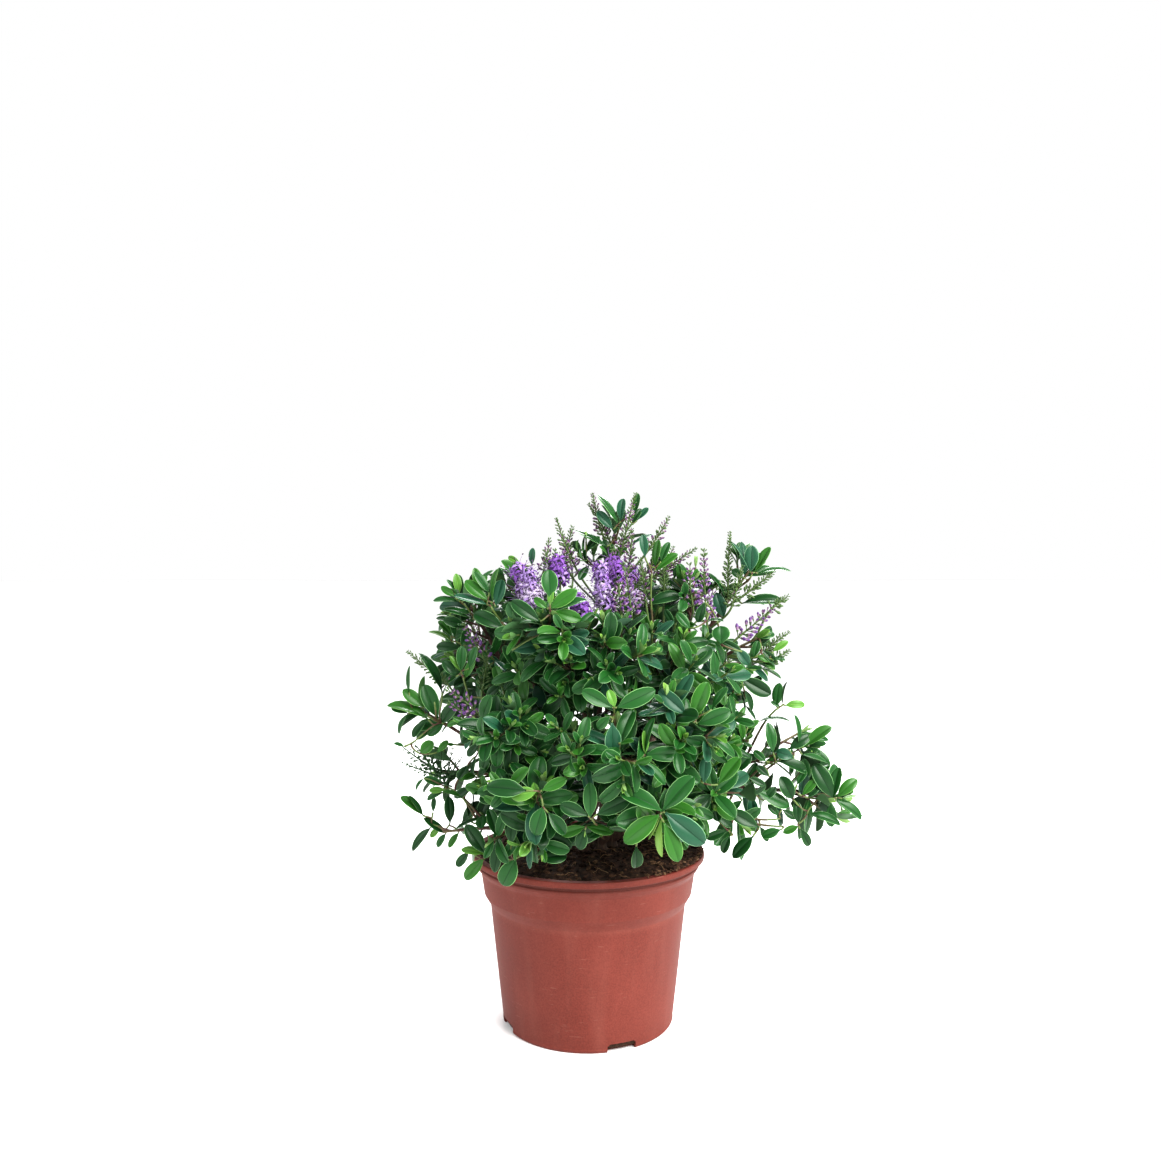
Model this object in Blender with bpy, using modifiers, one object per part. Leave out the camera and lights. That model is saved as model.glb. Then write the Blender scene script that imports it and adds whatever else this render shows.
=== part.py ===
"""A young hebe shrub standing in its round nursery pot, in metres with +Z up.

The pot's underside is at z = 0 and its axis is the Z axis. Stems rise from the soil, boughs fork from
the stems, and each mass of foliage grows on from the end of one stem or bough and keeps to its own space.
"""

import math
import random

import bmesh
import bpy
from mathutils import Matrix, Vector
from mathutils.bvhtree import BVHTree

# Pot, as outer radii and heights
POT_HEIGHT = 0.1235
LIP_RADIUS = 0.0853
LIP_DEPTH = 0.0042
LIP_ROUNDING = 0.0011
RIM_RADIUS = 0.0796
INNER_FLARE_Z = 0.1180
SKIRT_TOP_RADIUS = 0.0786
SKIRT_TOP_Z = 0.1098
SKIRT_FOOT_RADIUS = 0.0758
SKIRT_FOOT_Z = 0.0935
BODY_TOP_RADIUS = 0.0716
BODY_TOP_Z = 0.0868
FOOT_RADIUS = 0.0620
FOOT_BEVEL = 0.0007
WALL = 0.0014
FLOOR = 0.0022
TURN_STEPS = 32
NOTCH_WIDTH = 0.021
NOTCH_HEIGHT = 0.006
NOTCH_INNER_RADIUS = 0.0565
NOTCH_OUTER_RADIUS = 0.0680
NOTCH_COUNT = 4
NOTCH_TURN = math.radians(-68)

# Soil
GAP = 0.0003
SOIL_EDGE_DROP = 0.0016
SOIL_MOUND = 0.0030
SOIL_FLAT_RADIUS = 0.0240
SOIL_SLOPE_RADIUS = 0.0478
SOIL_SLOPE_Z = 0.1247

# Limbs
STEM_RING = 0.0180
STEM_RADIUS = 0.0034
STEM_TIP_RADIUS = 0.0019
STEM_FLARE = 1.5
STEM_FOOT = 0.0050
SEAT_STEP = 0.00005
BOUGH_TIP_RADIUS = 0.0015
BOUGH_SHARE = 0.80
LIMB_POINTS = 5
LIMB_SIDES = 6
ARCH = 0.05
BEND_PLACE = 0.48
STRAIGHTNESS = 2.2
FORK_SPACING = 0.013
WIDEST_FORK = math.radians(52)
FORK_SHARE = 0.22
PATH_SAMPLES = 14
PATH_CLEARANCE = 0.0040
FORK_FRACTIONS = [0.26 + 0.05 * step for step in range(13)]

# Foliage
TWIG_LENGTH = 0.094
MOST_OF_PATH = 0.62
TWIG_RADIUS = 0.0014
TWIG_TIP_SHARE = 0.6
TIP_LEAF_SHARE = 0.72
SHOOT_RADIUS = 0.0009
SHOOT_TIP_SHARE = 0.7
SHOOT_LENGTH = 0.040
SHOOT_LENGTHS = (0.8, 1.0)
SHOOT_SHORTENING = 0.4
SHORTEST_SHOOT = 0.012
LEAF_ALLOWANCE = 0.0133
SHOOT_FRACTIONS = (0.10, 0.42, 0.74)
SHOOT_ANGLE = math.radians(54)
SHOOT_LIFT = 0.22
GIRTH = 0.048
TIP_GIRTH = 0.026
LOWEST_LEAF = 0.112
LEAF_LENGTH = 0.038
LEAF_WIDTH = 0.46
LEAF_FOLD = 0.075
LEAF_OUTLINE = ((0.27, 0.88), (0.70, 1.0))
LEAF_SIZES = (0.86, 1.08)
TWIG_PAIRS = (0.27, 0.60, 0.975)
SHOOT_PAIRS = (0.50, 0.96)
LEAF_TRIES = 8
LEAF_NOD = 0.14
LEAF_SWING = 0.20
SWING_GROWTH = 0.7
TRY_SHRINK = 0.04
LEAF_SINK = 0.25
WAYS = 12
SHOOTS_PER_NODE = 2
SHOOT_SPREAD = math.radians(65)
SHADE_SPREAD = math.radians(35)
LOWER_LEAF_ANGLE = math.radians(66)
UPPER_LEAF_ANGLE = math.radians(36)
SPACE_MARGIN = 0.0005
TWIG_SPACING = 0.0034
NEAREST_ROUNDS = 80
FAIR_SHARES = (0.0, 0.2, 0.4, 0.6, 0.8, 1.0)
TIP_MARGIN = 0.003
LIMB_CLEARANCE = 0.0009
POT_CLEARANCE = 0.0025
RACEME_RADIUS = 0.0055
RACEME_TIP_SHARE = 0.25
BLOOM_RADIUS = 0.0105
STALK_RADIUS = 0.0007
STALK_DROP = 0.6
STALK_SINK = 0.15
HIGHEST_STALK = 0.62
RACEME_PULLS = (0.0, 0.1, 0.2, 0.3, 0.4)
NEAR_MASSES = 3
SEED = 36

# Every mass of foliage: its name, the place of its furthest tip, and what carries it there
MASSES = (
    ("crown_top", (0.023, 0.015, 0.383), "stem"),
    ("bloom_left", (-0.048, -0.020, 0.342), "bough"),
    ("bloom_right", (0.080, 0.000, 0.350), "bough"),
    ("upper_right", (0.134, 0.010, 0.346), "stem"),
    ("upper_left", (-0.102, 0.010, 0.326), "stem"),
    ("left_shoulder", (-0.122, 0.036, 0.280), "bough"),
    ("left_side", (-0.140, -0.015, 0.236), "stem"),
    ("left_low", (-0.128, 0.010, 0.174), "bough"),
    ("left_foot", (-0.120, -0.046, 0.144), "bough"),
    ("left_rim", (-0.074, -0.096, 0.147), "stem"),
    ("right_foot", (0.116, -0.050, 0.142), "bough"),
    ("right_low", (0.200, -0.015, 0.160), "stem"),
    ("right_side", (0.176, 0.015, 0.216), "bough"),
    ("right_shoulder", (0.140, -0.020, 0.288), "bough"),
    ("front_low_left", (-0.034, -0.120, 0.190), "bough"),
    ("front_low", (0.006, -0.104, 0.158), "direct"),
    ("front_low_right", (0.054, -0.130, 0.176), "stem"),
    ("front_right", (0.078, -0.102, 0.244), "bough"),
    ("front_middle", (0.020, -0.124, 0.232), "bough"),
    ("front_upper", (0.018, -0.090, 0.300), "stem"),
    ("front_upper_left", (-0.036, -0.082, 0.310), "bough"),
    ("front_left", (-0.068, -0.090, 0.235), "bough"),
    ("right_front_low", (0.108, -0.084, 0.190), "direct"),
    ("heart_left", (-0.030, -0.020, 0.258), "direct"),
    ("heart_right", (0.052, -0.030, 0.262), "direct"),
    ("back_top_left", (-0.050, 0.085, 0.315), "bough"),
    ("back_top_right", (0.065, 0.088, 0.318), "stem"),
    ("back_left", (-0.108, 0.098, 0.232), "bough"),
    ("back_right", (0.118, 0.100, 0.238), "bough"),
    ("back_low_left", (-0.070, 0.130, 0.170), "bough"),
    ("back_low_right", (0.066, 0.138, 0.176), "stem"),
)

# Flower spikes: whether the florets are open, the place of the lowest florets and the place of the tip
FLOWERS = (
    (False, (0.010, 0.012, 0.352), (0.003, 0.010, 0.383)),
    (False, (0.034, 0.004, 0.352), (0.039, 0.002, 0.383)),
    (True, (-0.041, -0.030, 0.306), (-0.050, -0.034, 0.334)),
    (False, (-0.024, -0.010, 0.326), (-0.030, -0.006, 0.356)),
    (False, (0.004, 0.004, 0.330), (-0.010, 0.010, 0.362)),
    (True, (0.008, -0.058, 0.308), (0.013, -0.060, 0.338)),
    (False, (0.056, 0.008, 0.330), (0.062, 0.012, 0.366)),
    (False, (0.087, -0.010, 0.306), (0.085, -0.010, 0.346)),
    (False, (0.112, 0.006, 0.312), (0.106, 0.006, 0.352)),
    (False, (0.116, -0.014, 0.278), (0.140, -0.020, 0.308)),
    (False, (-0.108, 0.006, 0.242), (-0.129, 0.008, 0.268)),
    (False, (-0.078, -0.044, 0.222), (-0.094, -0.050, 0.248)),
    (False, (-0.040, 0.070, 0.302), (-0.030, 0.078, 0.334)),
    (True, (0.040, 0.072, 0.302), (0.034, 0.082, 0.332)),
    (False, (0.088, 0.070, 0.288), (0.104, 0.078, 0.312)),
)

UP = Vector((0.0, 0.0, 1.0))


def clear_scene():
    for obj in list(bpy.data.objects):
        bpy.data.objects.remove(obj)


def material(name, colour, roughness, metallic=0.0):
    made = bpy.data.materials.new(name)
    made.use_nodes = True
    shader = made.node_tree.nodes["Principled BSDF"]
    shader.inputs["Base Color"].default_value = (*colour, 1.0)
    shader.inputs["Roughness"].default_value = roughness
    shader.inputs["Metallic"].default_value = metallic
    return made


def collection(name, hidden=False):
    made = bpy.data.collections.new(name)
    made.hide_render = hidden
    bpy.context.scene.collection.children.link(made)
    return made


def mesh_object(name, bm, group, finish=None):
    mesh = bpy.data.meshes.new(name)
    bm.to_mesh(mesh)
    bm.free()
    obj = bpy.data.objects.new(name, mesh)
    if finish:
        mesh.materials.append(finish)
    group.objects.link(obj)
    return obj


# Pot and soil


def wall_below_lip(inset):
    """Radii and heights from the top of the skirt to the top of the body, moved in by inset."""
    return [
        (SKIRT_TOP_RADIUS - inset, SKIRT_TOP_Z),
        (SKIRT_FOOT_RADIUS - inset, SKIRT_FOOT_Z),
        (BODY_TOP_RADIUS - inset, BODY_TOP_Z),
    ]


def inner_wall(inset):
    """The inside of the pot from its rim down to its floor, moved in by inset."""
    floor_z = FLOOR + inset
    floor_radius = FOOT_RADIUS + (BODY_TOP_RADIUS - FOOT_RADIUS) * floor_z / BODY_TOP_Z
    bottom = [(floor_radius - WALL - inset, floor_z)]
    return [(RIM_RADIUS - inset, INNER_FLARE_Z)] + wall_below_lip(WALL + inset) + bottom


def turned(name, profile, group, finish):
    """A solid turned about Z from a profile that runs up the inside and down the outer side."""
    bm = bmesh.new()
    corners = [bm.verts.new((radius, 0.0, z)) for radius, z in profile]
    for first, second in zip(corners, corners[1:]):
        bm.edges.new((first, second))
    obj = mesh_object(name, bm, group, finish)
    screw = obj.modifiers.new("turn", "SCREW")
    screw.steps = TURN_STEPS
    screw.render_steps = TURN_STEPS
    screw.use_merge_vertices = True
    screw.merge_threshold = 0.00005
    screw.use_normal_calculate = True
    return obj


def notch_cutters(group):
    """The slots through the foot of the wall, in one cutter."""
    depth = NOTCH_OUTER_RADIUS - NOTCH_INNER_RADIUS
    middle = Vector(((NOTCH_OUTER_RADIUS + NOTCH_INNER_RADIUS) / 2, 0.0, 0.0))
    bm = bmesh.new()
    for index in range(NOTCH_COUNT):
        turn = Matrix.Rotation(NOTCH_TURN + index * math.tau / NOTCH_COUNT, 4, "Z")
        size = Matrix.Diagonal((depth, NOTCH_WIDTH, 2 * NOTCH_HEIGHT, 1.0))
        bmesh.ops.create_cube(bm, size=1.0, matrix=turn @ Matrix.Translation(middle) @ size)
    cutter = mesh_object("notch_cutter", bm, group)
    cutter.hide_render = True
    cutter.display_type = "WIRE"
    return cutter


def make_pot(group, cutters):
    profile = [(0.0, FLOOR)]
    profile += reversed(inner_wall(0.0))
    profile += [
        (RIM_RADIUS, POT_HEIGHT),
        (LIP_RADIUS - LIP_ROUNDING, POT_HEIGHT),
        (LIP_RADIUS, POT_HEIGHT - LIP_ROUNDING),
        (LIP_RADIUS, POT_HEIGHT - LIP_DEPTH),
        ((LIP_RADIUS + SKIRT_TOP_RADIUS) / 2 + LIP_ROUNDING, (POT_HEIGHT - LIP_DEPTH + SKIRT_TOP_Z) / 2),
    ]
    profile += wall_below_lip(0.0)
    profile += [(FOOT_RADIUS, FOOT_BEVEL), (FOOT_RADIUS - FOOT_BEVEL, 0.0), (0.0, 0.0)]
    pot = turned("pot", profile, group, material("terracotta_plastic", (0.37, 0.105, 0.082), 0.55))
    cut = pot.modifiers.new("notches", "BOOLEAN")
    cut.operation = "DIFFERENCE"
    cut.solver = "EXACT"
    cut.object = notch_cutters(cutters)
    return pot


def make_soil(group):
    edge_z = POT_HEIGHT - SOIL_EDGE_DROP
    top_z = POT_HEIGHT + SOIL_MOUND
    profile = [
        (0.0, top_z),
        (SOIL_FLAT_RADIUS, top_z),
        (SOIL_SLOPE_RADIUS, SOIL_SLOPE_Z),
        (RIM_RADIUS - GAP, edge_z),
    ]
    profile += inner_wall(GAP)
    profile += [(0.0, FLOOR + GAP)]
    return turned("soil", profile, group, material("peat", (0.035, 0.022, 0.016), 0.95))


# Limbs


def bezier(start, bend, end, t):
    return start * (1 - t) ** 2 + bend * 2 * t * (1 - t) + end * t**2


def limb_path(start, heading, end):
    """A curve that leaves start along heading and arches gently to end, as a function of 0 to 1."""
    across = (end - start).length
    flat = math.hypot(end.x - start.x, end.y - start.y)
    straight = (end - start).normalized()
    leaving = (heading + STRAIGHTNESS * straight).normalized()
    bend = start + leaving * BEND_PLACE * across + UP * ARCH * flat
    return lambda t: bezier(start, bend, end, t)


def taper(first, last, count):
    return [first + (last - first) * index / (count - 1) for index in range(count)]


def tube(name, path, radii, group, finish):
    """One limb: a round curve through path with a radius at every point and closed ends."""
    unit = 0.001
    curve = bpy.data.curves.new(name, "CURVE")
    curve.dimensions = "3D"
    curve.bevel_depth = unit
    curve.bevel_resolution = LIMB_SIDES // 2 - 2
    curve.use_fill_caps = True
    spline = curve.splines.new("POLY")
    spline.points.add(len(path) - 1)
    for point, place, radius in zip(spline.points, path, radii):
        point.co = (*place, 1.0)
        point.radius = radius / unit
    curve.materials.append(finish)
    obj = bpy.data.objects.new(name, curve)
    group.objects.link(obj)
    return obj


class Limb:
    """A stem or bough as its path, the radii along it, and the mass that it leads to."""

    def __init__(self, name, path, radii):
        self.name = name
        self.path = path
        self.radii = radii

    def place(self, fraction):
        """The point, the heading and the radius at a fraction of the limb."""
        along = fraction * (len(self.path) - 1)
        index = min(int(along), len(self.path) - 2)
        rest = along - index
        before, after = self.path[index], self.path[index + 1]
        radius = self.radii[index] * (1 - rest) + self.radii[index + 1] * rest
        return before.lerp(after, rest), (after - before).normalized(), radius


def mass_root(path, tip):
    """How far along a path its mass begins, so that the mass holds the last stretch."""
    length = (tip - path(0.0)).length
    return 1.0 - min(TWIG_LENGTH / length, MOST_OF_PATH)


def place_feet(tips):
    """The foot of every stem on the soil: the most upright in the middle, the others evenly round it."""
    tips = {name: Vector(tip) for name, tip in tips.items()}
    soil = Vector((0.0, 0.0, POT_HEIGHT + SOIL_MOUND + GAP))
    around = sorted(tips, key=lambda name: math.atan2(tips[name].y, tips[name].x))
    middle = min(tips, key=lambda name: math.hypot(tips[name].x, tips[name].y))
    around.remove(middle)
    step = math.tau / len(around)
    turns = [math.atan2(tips[name].y, tips[name].x) for name in around]
    first = sum(turn - index * step for index, turn in enumerate(turns)) / len(turns)
    feet = {middle: soil}
    for index, name in enumerate(around):
        turn = first + index * step
        feet[name] = soil + Vector((math.cos(turn), math.sin(turn), 0.0)) * STEM_RING
    return feet


def grow_stem(mass, foot):
    """The stem from the soil to the mass that it leads to, with a flat foot and a flare."""
    tip = Vector(mass[1])
    heel = foot + UP * STEM_FOOT
    path = limb_path(heel, UP, tip)
    root = mass_root(path, tip)
    points = [foot] + [path(root * step / (LIMB_POINTS - 1)) for step in range(LIMB_POINTS)]
    radii = [STEM_RADIUS * STEM_FLARE] + taper(STEM_RADIUS, STEM_TIP_RADIUS, LIMB_POINTS)
    return Limb("stem_" + mass[0], points, radii), [path(root), path(1.0)]


def distance_to(limb, point):
    """How far a point lies outside a limb's skin."""
    gaps = []
    for index in range(len(limb.path) - 1):
        before, after = limb.path[index], limb.path[index + 1]
        line = after - before
        share = max(0.0, min(1.0, (point - before).dot(line) / line.length_squared))
        radius = limb.radii[index] * (1 - share) + limb.radii[index + 1] * share
        gaps.append((point - before.lerp(after, share)).length - radius)
    return min(gaps)


def rim_points(centre, axis, radius, count=12):
    side = axis.orthogonal().normalized() * radius
    return [centre + Matrix.Rotation(math.tau * step / count, 3, axis) @ side for step in range(count)]


def crosses(path, limbs):
    """True where a path comes too near any limb after it has left its fork."""
    steps = [FORK_SHARE + (1 - FORK_SHARE) * step / PATH_SAMPLES for step in range(PATH_SAMPLES + 1)]
    points = [path(step) for step in steps]
    return any(distance_to(limb, point) < PATH_CLEARANCE for limb in limbs for point in points)


def choose_fork(tip, stems, limbs, taken):
    """The free place on a stem with the shortest, least sharply turned way to the tip past every limb."""
    forks = []
    for stem in stems:
        for fraction in FORK_FRACTIONS:
            point, heading, radius = stem.place(fraction)
            if any((point - other).length < FORK_SPACING for other in taken):
                continue
            reach = tip - point
            cost = reach.length * (1 + (reach.angle(heading) / WIDEST_FORK) ** 2)
            forks.append((cost, stem, point, heading, radius))
    forks.sort(key=lambda fork: fork[0])
    for _, stem, point, heading, radius in forks:
        if not crosses(limb_path(point, heading, tip), limbs):
            taken.append(point)
            return stem, point, heading, radius
    raise RuntimeError("no way through to a mass")


def clear_of(stem, path, radius):
    """How far along a path a limb of this radius first stands clear of the stem that it forks from."""
    step = 0.002
    start = 0.0
    while start < 0.5:
        start += step
        axis = (path(start + step) - path(start)).normalized()
        if min(distance_to(stem, point) for point in rim_points(path(start), axis, radius)) > GAP:
            break
    return start


def grow_twig(mass, stems, limbs, taken):
    """The twig of a mass that springs straight from the side of a stem."""
    tip = Vector(mass[1])
    stem, fork, _, _ = choose_fork(tip, stems, limbs, taken)
    return [fork.lerp(tip, clear_of(stem, lambda t: fork.lerp(tip, t), TWIG_RADIUS)), tip]


def grow_bough(mass, stems, limbs, taken):
    """The bough from its fork on a stem to where its mass begins."""
    tip = Vector(mass[1])
    stem, fork, heading, stem_radius = choose_fork(tip, stems, limbs, taken)
    path = limb_path(fork, heading, tip)
    radius = min(stem_radius, STEM_RADIUS) * BOUGH_SHARE
    root = mass_root(path, tip)
    start = clear_of(stem, path, radius)
    steps = [start + (root - start) * step / (LIMB_POINTS - 1) for step in range(LIMB_POINTS)]
    points = [path(step) for step in steps]
    radii = taper(radius, BOUGH_TIP_RADIUS, LIMB_POINTS)
    return Limb("bough_" + mass[0], points, radii), [path(root), path(1.0)]


def grow_limbs():
    """Every stem and bough, and the twig of every mass as its two ends."""
    led = [mass for mass in MASSES if mass[2] == "stem"]
    feet = place_feet({mass[0]: mass[1] for mass in led})
    stems, boughs, twigs, taken = [], [], {}, []
    for mass in led:
        stem, twigs[mass[0]] = grow_stem(mass, feet[mass[0]])
        stems.append(stem)
    for mass in MASSES:
        twig_radii = [TWIG_RADIUS, TWIG_RADIUS]
        limbs = stems + boughs + [Limb("twig", twig, twig_radii) for twig in twigs.values()]
        if mass[2] == "bough":
            bough, twigs[mass[0]] = grow_bough(mass, stems, limbs, taken)
            boughs.append(bough)
        elif mass[2] == "direct":
            twigs[mass[0]] = grow_twig(mass, stems, limbs, taken)
    return stems + boughs, twigs


# The space of each mass


def nearest_on(point, start, end):
    line = end - start
    share = max(0.0, min(1.0, (point - start).dot(line) / line.length_squared))
    return start.lerp(end, share)


def parting_plane(first, second):
    """The fairest plane that parts two twigs: a point on it and its direction away from the first."""
    on_first = (first[0] + first[1]) / 2
    for _ in range(NEAREST_ROUNDS):
        on_second = nearest_on(on_first, *second)
        on_first = nearest_on(on_second, *first)
    closest = (on_second - on_first).normalized()
    between = (second[0] + second[1] - first[0] - first[1]).normalized()
    for share in FAIR_SHARES:
        away = between.lerp(closest, share).normalized()
        low = max(away.dot(point) for point in first)
        high = min(away.dot(point) for point in second)
        if high - low > TWIG_SPACING:
            break
    return away * (low + high) / 2, away


def part_spaces(twigs):
    """Every mass's space, as the planes that part it from each other mass."""
    spaces = {name: [] for name in twigs}
    names = list(twigs)
    for index, name in enumerate(names):
        for other in names[index + 1 :]:
            middle, away = parting_plane(twigs[name], twigs[other])
            spaces[name].append((middle, away))
            spaces[other].append((middle, -away))
    return spaces


def within(space, points):
    return all((point - middle).dot(away) < -SPACE_MARGIN for middle, away in space for point in points)


def room(space, start, heading):
    """How far a shoot can run from start before it leaves the space."""
    reach = SHOOT_LENGTH
    for middle, away in space:
        closing = heading.dot(away)
        if closing > 0:
            reach = min(reach, ((middle - start).dot(away) - 2 * SPACE_MARGIN) / closing)
    return reach


# Foliage


def add_cone(bm, start, end, first_radius, last_radius, sides=3):
    line = end - start
    place = Matrix.Translation((start + end) / 2) @ line.to_track_quat("Z", "Y").to_matrix().to_4x4()
    bmesh.ops.create_cone(
        bm,
        cap_ends=True,
        segments=sides,
        radius1=first_radius,
        radius2=last_radius,
        depth=line.length,
        matrix=place,
    )


def twig_mesh(start, end, first_radius, last_radius):
    bm = bmesh.new()
    add_cone(bm, start, end, first_radius, last_radius)
    return bm


def leaf_mesh(root, heading, face, length):
    """A leaf of eight faces: a keel from root to tip, and two flat halves folded up from it."""
    across = heading.cross(face).normalized()
    lift = face * LEAF_FOLD * length
    half = LEAF_WIDTH * length / 2
    bm = bmesh.new()
    bm.verts.new(root)
    bm.verts.new(root + heading * length)
    for along, share in LEAF_OUTLINE:
        for side in (-1, 1):
            bm.verts.new(root + heading * along * length + across * side * share * half + lift)
    bmesh.ops.convex_hull(bm, input=bm.verts)
    bmesh.ops.recalc_face_normals(bm, faces=bm.faces)
    return bm


def raceme_mesh(start, end, blooming):
    """The outline of a flower spike: a slim cone of buds, or a round head of open florets."""
    bm = bmesh.new()
    if not blooming:
        add_cone(bm, start, end, RACEME_RADIUS, RACEME_TIP_SHARE * RACEME_RADIUS, sides=5)
        return bm
    turn = (end - start).to_track_quat("Z", "Y").to_matrix().to_4x4()
    stretch = Matrix.Diagonal((1.0, 1.0, (end - start).length / 2 / BLOOM_RADIUS, 1.0))
    place = Matrix.Translation((start + end) / 2) @ turn @ stretch
    bmesh.ops.create_icosphere(bm, subdivisions=1, radius=BLOOM_RADIUS, matrix=place)
    return bm


def turned_from(axis, angle, turn):
    """The direction at an angle from axis, turned about it."""
    side = axis.orthogonal().normalized()
    leaned = Matrix.Rotation(angle, 3, axis.cross(side)) @ axis
    return (Matrix.Rotation(turn, 3, axis) @ leaned).normalized()


class Mass:
    """One mass of foliage while it grows: its pieces, its space and what it has to keep clear of."""

    def __init__(self, name, twig, space, obstacles, group):
        self.twig = twig
        self.space = space
        self.obstacles = obstacles
        self.group = group
        self.rng = random.Random(f"{SEED}{name}")
        self.leaves = []
        self.shoots = []

    def shaped(self, bm):
        """True where a piece stays in the rounded outline of the mass."""
        start, end = self.twig
        line = end - start
        for vert in bm.verts:
            share = (vert.co - start).dot(line) / line.length_squared
            girth = GIRTH + (TIP_GIRTH - GIRTH) * max(0.0, share)
            beyond = (share - 1) * line.length
            if beyond > TIP_MARGIN or (vert.co - start.lerp(end, share)).length > girth:
                return False
            if vert.co.z < LOWEST_LEAF:
                return False
        return True

    def fits(self, bm):
        """True where a piece stays in the space, off the limbs and clear of the pot."""
        points = [vert.co for vert in bm.verts]
        if not within(self.space, points):
            return False
        for point in points:
            beside = math.hypot(point.x, point.y) < LIP_RADIUS + POT_CLEARANCE
            if beside and point.z < POT_HEIGHT + SOIL_MOUND + POT_CLEARANCE:
                return False
        return not self.obstacles.overlap(BVHTree.FromBMesh(bm))

    def add_leaf(self, bm, shoot):
        """Keeps a leaf that fits and crosses no other leaf or shoot."""
        tree = BVHTree.FromBMesh(bm)
        crossed = any(tree.overlap(other) for other in self.leaves)
        crossed = crossed or any(tree.overlap(other) for other in self.shoots if other is not shoot)
        if crossed or not self.shaped(bm) or not self.fits(bm):
            bm.free()
            return False
        self.leaves.append(tree)
        mesh_object("piece", bm, self.group)
        return True

    def add_twig(self, bm):
        """Keeps a shoot that fits and crosses no leaf, and returns its tree."""
        tree = BVHTree.FromBMesh(bm)
        if any(tree.overlap(other) for other in self.leaves) or not self.fits(bm):
            bm.free()
            return None
        self.shoots.append(tree)
        mesh_object("piece", bm, self.group)
        return tree

    def add_pair(self, shoot, start, end, fraction, turn, radius):
        """Two opposite leaves, each turned to face the end of its shoot, or turned aside to fit."""
        axis = (end - start).normalized()
        opening = LOWER_LEAF_ANGLE + (UPPER_LEAF_ANGLE - LOWER_LEAF_ANGLE) * fraction**2
        for side in (0.0, math.pi):
            for attempt in range(LEAF_TRIES):
                angle = opening + self.rng.uniform(-LEAF_NOD, LEAF_NOD)
                swing = self.rng.uniform(-LEAF_SWING, LEAF_SWING) * (1 + SWING_GROWTH * attempt)
                heading = turned_from(axis, angle, turn + side + swing)
                outward = (heading - axis * heading.dot(axis)).normalized()
                face = (axis - heading * axis.dot(heading)).normalized()
                root = start.lerp(end, fraction) + outward * LEAF_SINK * radius
                length = LEAF_LENGTH * self.rng.uniform(*LEAF_SIZES) * (1 - TRY_SHRINK * attempt)
                if self.add_leaf(leaf_mesh(root, heading, face, length), shoot):
                    break

    def add_shoot(self, start, heading, longest):
        """A side shoot with its leaves, cut short where the space ends."""
        length = room(self.space, start, heading) - LEAF_ALLOWANCE
        length = min(length, longest * self.rng.uniform(*SHOOT_LENGTHS))
        if length < SHORTEST_SHOOT:
            return False
        end = start + heading * length
        shoot = self.add_twig(twig_mesh(start, end, SHOOT_RADIUS, SHOOT_TIP_SHARE * SHOOT_RADIUS))
        if shoot is None:
            return False
        turn = self.rng.uniform(0.0, math.tau)
        for index, fraction in enumerate(SHOOT_PAIRS):
            self.add_pair(shoot, start, end, fraction, turn + index * math.pi / 2, SHOOT_RADIUS)
        return True

    def add_whorl(self, start, axis, longest, shaded):
        """The side shoots of one node, each turned to where it has the most room."""
        offset = self.rng.uniform(0.0, math.tau)
        headings = []
        for index in range(WAYS):
            heading = turned_from(axis, SHOOT_ANGLE, offset + index * math.tau / WAYS)
            headings.append((heading + UP * SHOOT_LIFT).normalized())
        headings.sort(key=lambda heading: -room(self.space, start, heading))
        grown = []
        for heading in headings:
            crowded = any(heading.angle(other) < SHOOT_SPREAD for other in grown)
            crowded = crowded or any(heading.angle(other) < SHADE_SPREAD for other in shaded)
            if len(grown) < SHOOTS_PER_NODE and not crowded and self.add_shoot(start, heading, longest):
                grown.append(heading)
        return grown

    def grow(self):
        start, end = self.twig
        axis = (end - start).normalized()
        tip = end - axis * TIP_LEAF_SHARE * LEAF_LENGTH
        stem = twig_mesh(start + axis * GAP, tip, TWIG_RADIUS, TWIG_TIP_SHARE * TWIG_RADIUS)
        stem_tree = BVHTree.FromBMesh(stem)
        mesh_object("piece", stem, self.group)
        turn = self.rng.uniform(0.0, math.tau)
        for index, fraction in reversed(list(enumerate(TWIG_PAIRS))):
            self.add_pair(stem_tree, start, tip, fraction, turn + index * math.pi / 2, TWIG_RADIUS)
        shaded = []
        for fraction in reversed(SHOOT_FRACTIONS):
            longest = SHOOT_LENGTH * (1 - SHOOT_SHORTENING * fraction)
            shaded = self.add_whorl(start.lerp(tip, fraction), axis, longest, shaded)

    def add_raceme(self, blooming, base, end):
        """A flower spike on a stalk from the mass's own twig, where both fit."""
        start, tip = self.twig
        foot = nearest_on(base - (end - base) * STALK_DROP, start, start.lerp(tip, HIGHEST_STALK))
        stalk = twig_mesh(foot, base.lerp(end, STALK_SINK), STALK_RADIUS, STALK_RADIUS)
        head = raceme_mesh(base, end, blooming)
        if self.fits(stalk) and self.fits(head):
            mesh_object("piece", stalk, self.group)
            mesh_object("piece", head, self.group)
            return True
        stalk.free()
        head.free()
        return False


def place_raceme(masses, blooming, base, end):
    """Gives a flower spike to the nearest mass with room for it, drawn in to its twig if need be."""
    middle = (base + end) / 2
    masses = sorted(masses, key=lambda mass: (nearest_on(middle, *mass.twig) - middle).length)
    for pull in RACEME_PULLS:
        for mass in masses[:NEAR_MASSES]:
            shift = (nearest_on(middle, *mass.twig) - middle) * pull
            if mass.add_raceme(blooming, base + shift, end + shift):
                return


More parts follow.
